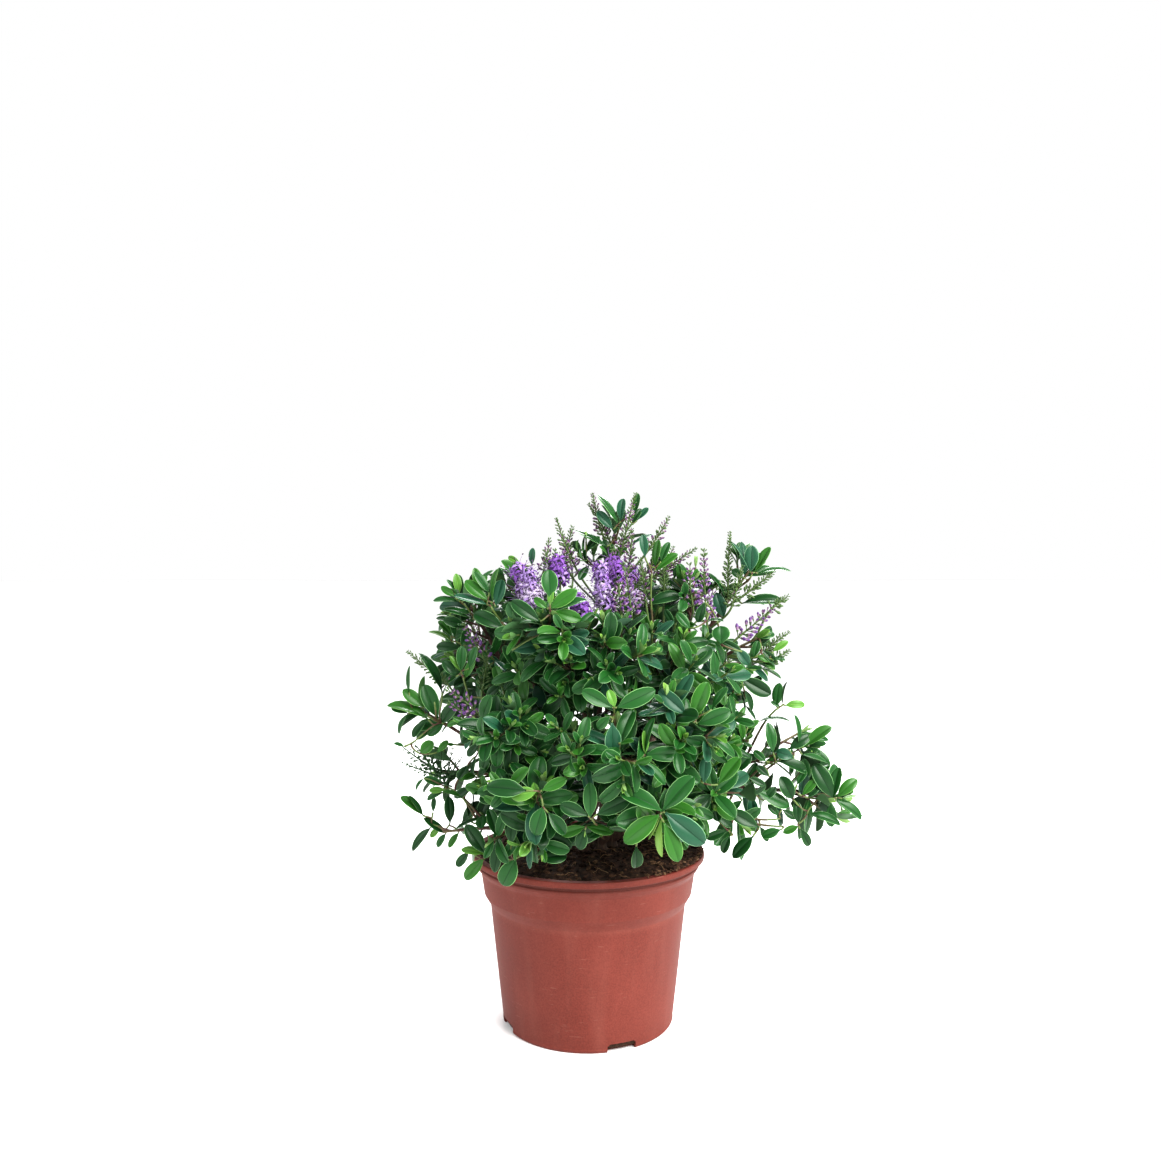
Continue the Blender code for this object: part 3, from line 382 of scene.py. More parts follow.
# Leaves that show singly, by the depth of their spray: the columns and rows of their base and tip, how
# wide they look beside their length, and their tint
KEY_LEAVES = {
    -0.124: (
        (662, 811, 621, 788, 0.38, "mid"), (664, 810, 693, 775, 0.46, "mid"),
        (665, 812, 706, 844, 0.46, "blue"), (660, 814, 623, 842, 0.44, "grass"),
        (664, 822, 680, 862, 0.42, "grass"), (661, 818, 660, 857, 0.22, "young"),
        (659, 816, 648, 839, 0.26, "young"),
    ),
    -0.114: (
        (590, 818, 590, 782, 0.42, "mid"), (588, 815, 560, 804, 0.50, "deep"),
        (597, 814, 630, 798, 0.44, "deep"), (526, 790, 486, 786, 0.50, "deep"),
        (537, 791, 510, 796, 0.52, "fresh"), (542, 790, 567, 778, 0.42, "grass"),
        (543, 806, 534, 836, 0.58, "mid"), (548, 812, 566, 834, 0.50, "deep"),
    ),
    -0.110: (
        (644, 753, 651, 716, 0.30, "mid"), (645, 753, 645, 730, 0.36, "fresh"),
        (647, 755, 685, 753, 0.42, "mid"), (643, 756, 629, 777, 0.46, "grass"),
        (641, 755, 615, 753, 0.26, "deep"), (612, 722, 613, 753, 0.60, "blue"),
        (612, 707, 582, 690, 0.46, "mid"), (617, 707, 656, 689, 0.42, "mid"),
        (615, 706, 609, 689, 0.50, "fresh"), (610, 716, 597, 728, 0.60, "mid"),
    ),
    -0.100: (
        (686, 714, 659, 689, 0.44, "blue"), (694, 717, 707, 681, 0.46, "grass"),
        (712, 709, 726, 685, 0.38, "mid"), (697, 724, 731, 710, 0.44, "mid"),
        (693, 722, 677, 721, 0.50, "grass"), (704, 783, 706, 757, 0.50, "blue"),
        (718, 784, 740, 757, 0.46, "grass"), (700, 716, 703, 694, 0.40, "fresh"),
        (586, 827, 561, 834, 0.44, "grass"), (588, 827, 612, 832, 0.42, "grass"),
        (585, 829, 578, 850, 0.60, "deep"), (586, 829, 582, 838, 0.60, "young"),
        (636, 846, 637, 869, 0.60, "deep"),
    ),
    -0.088: (
        (550, 598, 549, 569, 0.60, "mid"), (552, 608, 577, 589, 0.44, "grass"),
        (556, 611, 586, 596, 0.34, "mid"), (553, 613, 582, 619, 0.44, "grass"),
        (540, 621, 511, 600, 0.42, "deep"), (547, 608, 534, 597, 0.50, "grass"),
        (550, 606, 551, 588, 0.44, "fresh"), (516, 858, 501, 887, 0.60, "mid"),
        (504, 858, 515, 840, 0.50, "mid"), (511, 845, 512, 815, 0.48, "deep"),
        (540, 858, 567, 854, 0.62, "deep"),
    ),
    -0.072: (
        (485, 852, 466, 824, 0.44, "deep"), (484, 853, 461, 847, 0.40, "fresh"),
        (484, 858, 463, 880, 0.44, "grass"), (469, 852, 456, 866, 0.50, "deep"),
        (497, 835, 489, 808, 0.44, "mid"), (512, 650, 541, 644, 0.50, "blue"),
    ),
    -0.050: (
        (753, 836, 732, 857, 0.50, "deep"), (730, 835, 722, 853, 0.50, "deep"),
        (728, 830, 706, 838, 0.42, "deep"), (759, 827, 731, 811, 0.48, "deep"),
        (781, 829, 762, 836, 0.54, "mid"), (724, 788, 751, 795, 0.36, "blue"),
        (722, 785, 724, 803, 0.40, "fresh"), (716, 815, 733, 826, 0.48, "deep"),
        (742, 800, 728, 812, 0.46, "mid"), (705, 602, 697, 622, 0.48, "deep"),
        (707, 620, 724, 619, 0.30, "deep"), (690, 628, 677, 612, 0.46, "mid"),
        (721, 644, 721, 625, 1.00, "mid"), (742, 651, 723, 641, 0.42, "deep"),
    ),
    -0.034: (
        (799, 745, 796, 714, 0.28, "mid"), (804, 747, 831, 725, 0.38, "grass"),
        (802, 754, 828, 761, 0.26, "mid"), (777, 761, 809, 769, 0.36, "deep"),
        (773, 752, 769, 722, 0.40, "mid"), (793, 757, 777, 751, 0.75, "blue"),
        (789, 749, 811, 733, 0.44, "deep"), (766, 761, 754, 750, 0.50, "mid"),
        (734, 773, 751, 754, 0.44, "deep"), (833, 797, 815, 763, 0.46, "deep"),
        (834, 797, 838, 766, 0.42, "mid"), (837, 797, 857, 777, 0.44, "grass"),
        (842, 798, 858, 794, 0.28, "fresh"), (836, 800, 864, 817, 0.34, "mid"),
        (807, 814, 842, 821, 0.30, "mid"), (798, 823, 797, 801, 0.45, "deep"),
        (800, 828, 810, 846, 0.48, "deep"), (797, 827, 783, 832, 0.50, "grass"),
        (755, 790, 790, 805, 0.36, "mid"), (751, 795, 754, 816, 0.55, "blue"),
        (793, 799, 781, 776, 0.60, "deep"), (797, 784, 806, 769, 0.40, "mid"),
        (802, 795, 816, 779, 0.42, "grass"), (749, 777, 766, 785, 0.42, "deep"),
        (779, 815, 768, 804, 0.45, "mid"), (769, 776, 757, 765, 0.48, "deep"),
        (808, 797, 819, 785, 0.46, "deep"), (764, 800, 776, 786, 0.46, "deep"),
        (782, 809, 797, 818, 0.46, "deep"), (760, 826, 768, 841, 0.46, "deep"),
        (468, 764, 458, 780, 0.60, "deep"), (476, 756, 470, 775, 0.30, "deep"),
        (470, 787, 454, 797, 0.50, "deep"), (472, 790, 473, 809, 0.25, "blue"),
        (470, 820, 468, 803, 0.40, "mid"), (433, 812, 434, 797, 0.35, "deep"),
        (476, 823, 489, 795, 0.42, "deep"), (446, 833, 424, 817, 0.36, "mid"),
        (480, 742, 466, 756, 0.46, "deep"), (404, 746, 394, 742, 0.40, "mid"),
        (420, 753, 433, 741, 0.70, "grass"), (437, 752, 448, 740, 0.45, "grass"),
        (737, 775, 753, 786, 0.42, "deep"), (443, 785, 424, 777, 0.44, "mid"),
        (446, 789, 429, 790, 0.42, "fresh"), (444, 792, 426, 798, 0.32, "mid"),
        (424, 778, 414, 790, 0.30, "mid"), (423, 815, 402, 794, 0.34, "grass"),
        (423, 814, 410, 794, 0.30, "mid"), (431, 827, 411, 850, 0.36, "deep"),
        (440, 826, 430, 837, 0.45, "fresh"), (450, 823, 449, 796, 0.42, "deep"),
        (446, 832, 436, 847, 0.40, "mid"), (459, 832, 448, 847, 0.40, "grass"),
        (462, 822, 478, 800, 0.40, "deep"), (487, 604, 454, 594, 0.30, "blue"),
        (488, 600, 465, 580, 0.44, "grass"), (489, 592, 475, 571, 0.40, "mid"),
        (493, 602, 494, 567, 0.16, "grass"), (496, 606, 502, 579, 0.50, "blue"),
        (505, 629, 473, 611, 0.44, "deep"), (461, 671, 462, 645, 0.42, "mid"),
        (469, 668, 475, 646, 0.44, "mid"), (460, 673, 450, 655, 0.36, "fresh"),
        (456, 676, 443, 659, 0.50, "deep"), (465, 678, 474, 658, 0.40, "grass"),
        (486, 697, 499, 685, 0.55, "deep"),
    ),
    -0.020: (
        (776, 706, 779, 682, 0.48, "mid"), (783, 704, 784, 680, 0.18, "deep"),
        (785, 705, 806, 703, 0.40, "fresh"), (780, 706, 771, 701, 0.45, "mid"),
        (759, 721, 791, 716, 0.24, "deep"), (740, 677, 771, 694, 0.48, "deep"),
        (744, 689, 753, 711, 0.32, "deep"), (756, 722, 741, 733, 0.55, "mid"),
        (748, 742, 739, 754, 0.50, "deep"), (745, 705, 757, 719, 0.34, "deep"),
        (736, 648, 749, 664, 0.60, "blue"), (762, 649, 776, 662, 0.46, "deep"),
        (754, 657, 758, 640, 0.50, "mid"), (772, 659, 786, 658, 0.30, "mid"),
        (773, 651, 788, 640, 0.42, "fresh"), (757, 655, 773, 659, 0.50, "grass"),
        (442, 692, 423, 649, 0.26, "deep"), (438, 718, 424, 684, 0.48, "mid"),
        (424, 706, 403, 689, 0.50, "grass"), (428, 719, 388, 699, 0.24, "grass"),
        (408, 713, 391, 706, 0.40, "mid"), (407, 714, 396, 733, 0.24, "mid"),
        (427, 720, 411, 736, 0.34, "deep"), (409, 692, 409, 665, 0.32, "mid"),
        (444, 724, 427, 735, 0.48, "mid"), (647, 605, 680, 591, 0.36, "deep"),
        (645, 557, 643, 534, 0.42, "blue"), (655, 567, 658, 539, 0.30, "grass"),
        (661, 561, 669, 541, 0.42, "mid"), (655, 571, 677, 552, 0.34, "grass"),
    ),
    0.000: (
        (618, 524, 599, 491, 0.28, "mid"), (621, 521, 622, 497, 0.40, "blue"),
        (635, 513, 638, 493, 0.40, "mid"), (632, 523, 641, 507, 0.42, "deep"),
        (637, 520, 648, 507, 0.36, "blue"), (613, 529, 597, 510, 0.42, "blue"),
        (607, 546, 576, 529, 0.26, "deep"), (631, 545, 657, 530, 0.26, "blue"),
        (520, 563, 508, 556, 0.50, "fresh"), (532, 565, 532, 547, 0.40, "blue"),
        (750, 571, 734, 541, 0.26, "blue"), (752, 571, 752, 545, 0.58, "blue"),
        (755, 572, 770, 546, 0.40, "grass"), (758, 573, 792, 566, 0.22, "mid"),
        (743, 577, 732, 569, 0.70, "deep"), (742, 603, 783, 597, 0.28, "deep"),
        (724, 617, 716, 592, 0.50, "blue"), (725, 598, 705, 567, 0.18, "deep"),
        (461, 602, 433, 597, 0.24, "mid"), (455, 596, 441, 586, 0.45, "grass"),
        (456, 592, 448, 578, 0.36, "mid"), (459, 594, 456, 573, 0.42, "fresh"),
        (473, 618, 444, 604, 0.30, "mid"), (474, 613, 450, 611, 0.30, "mid"),
        (452, 641, 429, 628, 0.30, "fresh"), (451, 635, 439, 619, 0.36, "grass"),
        (455, 637, 452, 620, 0.36, "mid"), (460, 647, 435, 645, 0.44, "deep"),
    ),
}

# The crown's left and right edge in rows of the photograph
CROWN_EDGES = (
    (488, 588, 640),
    (515, 586, 672),
    (530, 553, 674),
    (545, 545, 776),
    (560, 500, 778),
    (572, 453, 790),
    (596, 433, 788),
    (622, 437, 786),
    (645, 431, 788),
    (655, 408, 786),
    (680, 404, 786),
    (697, 388, 801),
    (715, 390, 807),
    (735, 395, 831),
    (755, 399, 827),
    (768, 408, 839),
    (786, 412, 857),
    (800, 400, 862),
    (815, 413, 863),
    (830, 421, 824),
    (848, 411, 811),
    (856, 430, 756),
    (868, 455, 740),
    (880, 463, 708),
    (892, 497, 700),
)

# Flower spikes: their kind, then the column and row of the lowest floret and of the tip, and their depth
SPIKES = (
    ("bud", 603, 535, 593, 495, 0.010),
    ("bud", 612, 545, 590, 505, 0.014),
    ("bud", 621, 552, 635, 495, -0.004),
    ("bud", 628, 570, 632, 530, -0.014),
    ("green", 618, 585, 612, 548, -0.020),
    ("bud", 648, 550, 668, 518, -0.006),
    ("bud", 650, 578, 694, 549, 0.002),
    ("bud", 636, 585, 660, 548, 0.004),
    ("open", 530, 602, 516, 564, -0.034),
    ("bud", 544, 570, 549, 540, -0.006),
    ("bud", 575, 566, 557, 520, 0.000),
    ("bud", 566, 560, 572, 528, 0.006),
    ("bud", 553, 585, 545, 552, -0.020),
    ("deep", 560, 582, 555, 552, -0.020),
    ("pale", 536, 604, 528, 572, -0.036),
    ("pale", 604, 606, 600, 562, -0.040),
    ("deep", 584, 620, 572, 588, -0.050),
    ("deep", 616, 578, 614, 552, -0.024),
    ("purple", 632, 618, 624, 566, -0.040),
    ("purple", 622, 620, 619, 580, -0.046),
    ("bud", 646, 604, 640, 560, -0.026),
    ("green", 664, 600, 662, 556, -0.014),
    ("purple", 707, 622, 704, 552, -0.012),
    ("purple", 693, 606, 690, 566, -0.018),
    ("green", 728, 596, 730, 534, 0.004),
    ("green", 732, 606, 742, 567, -0.006),
    ("green", 745, 594, 773, 572, -0.004),
    ("purple", 738, 637, 778, 602, -0.020),
    ("green", 772, 608, 787, 596, -0.021),
    ("green", 762, 655, 787, 633, -0.014),
    ("green", 770, 660, 788, 651, -0.018),
    ("green", 447, 683, 409, 652, 0.000),
    ("purple", 485, 660, 465, 626, -0.024),
    ("green", 482, 690, 488, 655, -0.026),
    ("purple", 483, 718, 450, 691, -0.058),
    ("purple", 478, 722, 452, 704, -0.056),
    ("dry", 437, 776, 404, 763, -0.015),
    ("dry", 430, 766, 402, 746, -0.012),
    ("dry", 432, 768, 415, 744, -0.016),
    ("dry", 436, 774, 428, 748, -0.010),
    ("dry", 440, 780, 441, 745, -0.014),
    ("dry", 444, 782, 452, 750, -0.010),
    ("dry", 446, 784, 461, 758, -0.016),
)

# Spikes at the back of the crown: their kind, the place of the lowest floret and of the tip
BACK_SPIKES = (
    ("bud", (-0.040, 0.070, 0.302), (-0.030, 0.078, 0.334)),
    ("open", (0.040, 0.072, 0.302), (0.034, 0.082, 0.332)),
    ("purple", (0.088, 0.070, 0.288), (0.104, 0.078, 0.312)),
    ("bud", (-0.082, 0.072, 0.262), (-0.098, 0.082, 0.288)),
    ("green", (0.010, 0.096, 0.296), (0.006, 0.108, 0.326)),
    ("bud", (0.106, 0.092, 0.244), (0.126, 0.104, 0.262)),
    ("bud", (0.062, 0.060, 0.318), (0.068, 0.066, 0.346)),
    ("purple", (-0.012, 0.060, 0.322), (-0.018, 0.066, 0.350)),
)

# Windows of sky through the crown, as pixels of the photograph: column, row, half width and half height
SKY_WINDOWS = (
    (759, 741, 6, 13),
    (786, 738, 6, 11),
    (790, 727, 14, 7),
    (768, 768, 12, 5),
    (815, 705, 24, 14),
    (697, 555, 18, 13),
    (632, 850, 32, 20),
    (588, 868, 46, 15),
    (692, 862, 30, 12),
    (540, 877, 30, 8),
    (741, 628, 13, 11),
    (786, 650, 12, 22),
    (459, 756, 11, 9),
    (459, 806, 5, 8),
    (452, 735, 8, 7),
    (790, 590, 30, 20),
    (425, 770, 12, 9),
    (430, 640, 12, 12),
    (485, 556, 16, 14),
    (718, 556, 6, 24),
    (690, 537, 13, 10),
    (725, 530, 30, 8),
    (432, 866, 24, 14),
    (454, 872, 15, 14),
    (476, 891, 20, 10),
)

UP = Vector((0.0, 0.0, 1.0))


# Materials


def new_material(name):
    made = bpy.data.materials.new(name)
    made.use_nodes = True
    shader = made.node_tree.nodes["Principled BSDF"]
    return made, made.node_tree, shader


def plain(name, colour, roughness, specular=0.5, coat=0.0):
    """A finish of one colour: what varies between leaves is dealt out by spray."""
    made, _, shader = new_material(name)
    shader.inputs["Base Color"].default_value = (*colour, 1.0)
    shader.inputs["Roughness"].default_value = roughness
    shader.inputs["Specular IOR Level"].default_value = specular
    shader.inputs["Coat Weight"].default_value = coat
    shader.inputs["Coat Roughness"].default_value = 0.25
    return made


def node(tree, kind, **values):
    made = tree.nodes.new(kind)
    for name, value in values.items():
        if name in made.inputs:
            made.inputs[name].default_value = value
        else:
            setattr(made, name, value)
    return made


def noise_node(tree, place, scale, detail, stretch=(1.0, 1.0, 1.0)):
    """A noise pattern fixed to the object, which may be stretched along an axis."""
    mapping = node(tree, "ShaderNodeMapping")
    mapping.inputs["Scale"].default_value = stretch
    tree.links.new(place.outputs["Object"], mapping.inputs["Vector"])
    made = node(tree, "ShaderNodeTexNoise", Scale=scale, Detail=detail)
    tree.links.new(mapping.outputs["Vector"], made.inputs["Vector"])
    return made


def ramp_node(tree, source, stops):
    """A ramp of (place, grey or colour) stops over a value."""
    made = node(tree, "ShaderNodeValToRGB")
    elements = made.color_ramp.elements
    while len(elements) < len(stops):
        elements.new(0.5)
    for element, (place, colour) in zip(elements, stops):
        element.position = place
        if isinstance(colour, (int, float)):
            colour = (colour, colour, colour)
        element.color = (*colour, 1.0)
    tree.links.new(source, made.inputs["Fac"])
    return made


def mix_colours(tree, factor, first, second, blend="MIX"):
    """Mixes two colours, each a socket or a plain colour, by a factor socket or number."""
    made = node(tree, "ShaderNodeMix", data_type="RGBA", blend_type=blend)
    for socket, value in ((made.inputs[0], factor), (made.inputs[6], first), (made.inputs[7], second)):
        if isinstance(value, bpy.types.NodeSocket):
            tree.links.new(value, socket)
        elif socket == made.inputs[0]:
            socket.default_value = value
        else:
            socket.default_value = (*value, 1.0)
    return made.outputs[2]


def add_bump(tree, shader, heights, distance):
    """Bumps from a list of (socket, strength), one after the other."""
    normal = None
    for height, strength in heights:
        bump = node(tree, "ShaderNodeBump", Strength=strength, Distance=distance)
        tree.links.new(height, bump.inputs["Height"])
        if normal:
            tree.links.new(normal, bump.inputs["Normal"])
        normal = bump.outputs["Normal"]
    tree.links.new(normal, shader.inputs["Normal"])


def pot_material():
    made, tree, shader = new_material("terracotta_plastic")
    place = node(tree, "ShaderNodeTexCoord")
    cloud = noise_node(tree, place, 22.0, 3.0)
    fine = noise_node(tree, place, 900.0, 2.0)
    streak = noise_node(tree, place, 60.0, 4.0, (1.0, 1.0, 0.12))
    scratch = noise_node(tree, place, 260.0, 3.0, (0.35, 0.35, 3.0))
    split = node(tree, "ShaderNodeSeparateXYZ")
    tree.links.new(place.outputs["Object"], split.inputs["Vector"])
    clay = ((0.30, (0.140, 0.0290, 0.0200)), (0.70, (0.176, 0.0415, 0.0300)))
    base = ramp_node(tree, cloud.outputs["Fac"], clay)
    speck = ramp_node(tree, fine.outputs["Fac"], ((0.35, 0.86), (0.65, 1.06)))
    colour = mix_colours(tree, 1.0, base.outputs["Color"], speck.outputs["Color"], "MULTIPLY")
    dusty = ramp_node(tree, streak.outputs["Fac"], ((0.50, 0.0), (0.78, 0.24)))
    colour = mix_colours(tree, dusty.outputs["Color"], colour, (0.23, 0.085, 0.065))
    scuff = ramp_node(tree, scratch.outputs["Fac"], ((0.67, 0.0), (0.76, 0.26)))
    colour = mix_colours(tree, scuff.outputs["Color"], colour, (0.33, 0.17, 0.135))
    # A paler band painted round the pot at the body's top step: a painted highlight along that edge, with
    # some wear there.
    edge = ramp_node(
        tree,
        split.outputs["Z"],
        (
            (BODY_TOP_Z - 0.0010, 0.0),
            (BODY_TOP_Z - 0.0003, 0.55),
            (BODY_TOP_Z + 0.0006, 0.55),
            (BODY_TOP_Z + 0.0012, 0.0),
        ),
    )
    colour = mix_colours(tree, edge.outputs["Color"], colour, (0.30, 0.11, 0.085))
    groove_z = POT_HEIGHT - LIP_DEPTH
    # A dark band painted just under the lip: painted shade in the groove there, with some dirt in it.
    shade_and_dirt_under_lip = ramp_node(
        tree,
        split.outputs["Z"],
        (
            (groove_z - 0.0030, 0.0),
            (groove_z - 0.0016, 0.75),
            (groove_z - 0.0002, 0.75),
            (groove_z + 0.0004, 0.0),
        ),
    )
    colour = mix_colours(tree, shade_and_dirt_under_lip.outputs["Color"], colour, (0.045, 0.014, 0.010))
    tree.links.new(colour, shader.inputs["Base Color"])
    rough = ramp_node(tree, cloud.outputs["Fac"], ((0.3, 0.50), (0.7, 0.62)))
    tree.links.new(rough.outputs["Color"], shader.inputs["Roughness"])
    shader.inputs["Specular IOR Level"].default_value = 0.20
    add_bump(tree, shader, ((fine.outputs["Fac"], 0.10), (scratch.outputs["Fac"], 0.12)), 0.0004)
    return made


def soil_material(name, dark, light):
    made, tree, shader = new_material(name)
    place = node(tree, "ShaderNodeTexCoord")
    coarse = noise_node(tree, place, 240.0, 4.0)
    fine = noise_node(tree, place, 1500.0, 3.0)
    base = ramp_node(tree, coarse.outputs["Fac"], ((0.35, dark), (0.72, light)))
    speck = ramp_node(tree, fine.outputs["Fac"], ((0.3, 0.6), (0.7, 1.4)))
    colour = mix_colours(tree, 1.0, base.outputs["Color"], speck.outputs["Color"], "MULTIPLY")
    tree.links.new(colour, shader.inputs["Base Color"])
    shader.inputs["Roughness"].default_value = 0.95
    shader.inputs["Specular IOR Level"].default_value = 0.2
    add_bump(tree, shader, ((coarse.outputs["Fac"], 0.6), (fine.outputs["Fac"], 0.4)), 0.0006)
    return made


def bark_material():
    made, tree, shader = new_material("bark")
    place = node(tree, "ShaderNodeTexCoord")
    streak = noise_node(tree, place, 700.0, 4.0, (1.0, 1.0, 0.14))
    patch = noise_node(tree, place, 90.0, 3.0)
    base = ramp_node(
        tree,
        streak.outputs["Fac"],
        ((0.30, (0.050, 0.026, 0.018)), (0.55, (0.115, 0.060, 0.038)), (0.75, (0.215, 0.135, 0.088))),
    )
    grey = ramp_node(tree, patch.outputs["Fac"], ((0.50, 0.0), (0.75, 0.55)))
    colour = mix_colours(tree, grey.outputs["Color"], base.outputs["Color"], (0.20, 0.155, 0.115))
    tree.links.new(colour, shader.inputs["Base Color"])
    shader.inputs["Roughness"].default_value = 0.78
    add_bump(tree, shader, ((streak.outputs["Fac"], 0.5), (patch.outputs["Fac"], 0.3)), 0.0004)
    return made


def floor_material():
    made, _, shader = new_material("studio_floor")
    shader.inputs["Base Color"].default_value = (0.94, 0.94, 0.94, 1.0)
    shader.inputs["Roughness"].default_value = 0.22
    shader.inputs["Specular IOR Level"].default_value = 0.45
    shader.inputs["Emission Color"].default_value = (1.0, 1.0, 1.0, 1.0)
    shader.inputs["Emission Strength"].default_value = 0.07
    return made


# Meshes


def finished(name, mesh, materials, body="root"):
    """Puts a mesh in the scene as a piece that rides on the plant's body."""
    for made in materials:
        mesh.materials.append(made)
    obj = bpy.data.objects.new(name, mesh)
    bpy.context.scene.collection.objects.link(obj)
    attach(obj, body)
    return obj


def around_axis(radius, angle, z):
    """A point at a radius and an angle about the pot's axis."""
    return Vector((radius * math.cos(angle), radius * math.sin(angle), z))


class Soup:
    """Closed bodies gathered for one joined mesh, each face with the number of its material."""

    def __init__(self):
        self.points = []
        self.faces = []
        self.kinds = []

    def add(self, points, faces, kinds):
        first = len(self.points)
        self.points.extend(points)
        self.faces.extend([tuple(first + index for index in face) for face in faces])
        if isinstance(kinds, int):
            kinds = [kinds] * len(faces)
        self.kinds.extend(kinds)

    def mesh(self, name, smooth=True):
        mesh = bpy.data.meshes.new(name)
        mesh.from_pydata([tuple(point) for point in self.points], [], self.faces)
        mesh.polygons.foreach_set("material_index", self.kinds)
        mesh.polygons.foreach_set("use_smooth", [smooth] * len(self.faces))
        mesh.update()
        return mesh


def frames_along(points):
    """Two cross directions at every point of a path, carried along it without twisting."""
    headings = []
    for index in range(len(points)):
        before = points[max(index - 1, 0)]
        after = points[min(index + 1, len(points) - 1)]
        headings.append((after - before).normalized())
    side = headings[0].orthogonal().normalized()
    frames = []
    for heading in headings:
        side = (side - heading * side.dot(heading)).normalized()
        frames.append((side, heading.cross(side)))
    return frames


def tube_faces(rings, sides):
    faces = []
    for ring in range(rings - 1):
        for side in range(sides):
            following = (side + 1) % sides
            first = ring * sides
            faces.append((first + side, first + following, first + sides + following, first + sides + side))
    faces.append(tuple(reversed(range(sides))))
    faces.append(tuple(range((rings - 1) * sides, rings * sides)))
    return faces


def tube_points(points, radii, sides, relief=None):
    """The rings of a round tube; relief(ring, angle, point) scales the radius."""
    made = []
    for ring, ((side, over), point, radius) in enumerate(zip(frames_along(points), points, radii)):
        for index in range(sides):
            angle = math.tau * index / sides
            out = side * math.cos(angle) + over * math.sin(angle)
            swell = relief(ring, angle, point + out * radius) if relief else 1.0
            made.append(point + out * radius * swell)
    return made


def blob(rng, centre, size, flat=0.7):
    """A crumb: a squashed eight-sided ball with every corner moved a little."""
    spin = Matrix.Rotation(rng.uniform(0, math.tau), 3, "Z")
    turn = spin @ Matrix.Rotation(rng.uniform(-0.6, 0.6), 3, "X")
    points = [Vector((0, 0, 1)), Vector((0, 0, -1))]
    for index in range(5):
        angle = math.tau * index / 5
        points.append(Vector((math.cos(angle), math.sin(angle), rng.uniform(0.1, 0.5))))
    for index in range(5):
        angle = math.tau * (index + 0.5) / 5
        points.append(Vector((math.cos(angle), math.sin(angle), -rng.uniform(0.1, 0.5))))
    moved = []
    for point in points:
        place = Vector((point.x, point.y * rng.uniform(0.7, 1.0), point.z * flat))
        moved.append(centre + turn @ (place * size * rng.uniform(0.75, 1.2)))
    faces = []
    for index in range(5):
        following = (index + 1) % 5
        faces.append((0, 2 + index, 2 + following))
        faces.append((2 + index, 7 + index, 2 + following))
        faces.append((2 + following, 7 + index, 7 + following))
        faces.append((1, 7 + following, 7 + index))
    return moved, faces


# Pot and soil


def wall_below_lip(inset):
    return [
        (SKIRT_TOP_RADIUS - inset, SKIRT_TOP_Z),
        (SKIRT_FOOT_RADIUS - inset, SKIRT_FOOT_Z),
        (BODY_TOP_RADIUS - inset, BODY_TOP_Z),
    ]


def inner_wall(inset):
    floor_z = FLOOR + inset
    floor_radius = FOOT_RADIUS + (BODY_TOP_RADIUS - FOOT_RADIUS) * floor_z / BODY_TOP_Z
    bottom = [(floor_radius - WALL - inset, floor_z)]
    return [(RIM_RADIUS - inset, INNER_FLARE_Z)] + wall_below_lip(WALL + inset) + bottom


def rounded(profile, radius, steps=4):
    """A profile with each corner between two longer runs rounded off."""
    made = [profile[0]]
    for before, corner, after in zip(profile, profile[1:], profile[2:]):
        first = Vector(before) - Vector(corner)
        second = Vector(after) - Vector(corner)
        reach = min(radius, 0.45 * first.length, 0.45 * second.length)
        start = Vector(corner) + first.normalized() * reach
        end = Vector(corner) + second.normalized() * reach
        for step in range(steps + 1):
            share = step / steps
            middle = start.lerp(Vector(corner), share).lerp(Vector(corner).lerp(end, share), share)
            made.append((middle.x, middle.y))
    made.append(profile[-1])
    return made


def lathe(profile, steps):
    """A closed solid turned about Z, from a profile that begins and ends on the axis."""
    inner = profile[1:-1]
    points = [Vector((0.0, 0.0, profile[0][1])), Vector((0.0, 0.0, profile[-1][1]))]
    for radius, z in inner:
        for step in range(steps):
            angle = math.tau * step / steps
            points.append(around_axis(radius, angle, z))
    faces = []
    for step in range(steps):
        following = (step + 1) % steps
        faces.append((0, 2 + step, 2 + following))
        last = 2 + (len(inner) - 1) * steps
        faces.append((1, last + following, last + step))
        for ring in range(len(inner) - 1):
            first = 2 + ring * steps
            second = first + steps
            faces.append((first + step, second + step, second + following, first + following))
    return points, faces


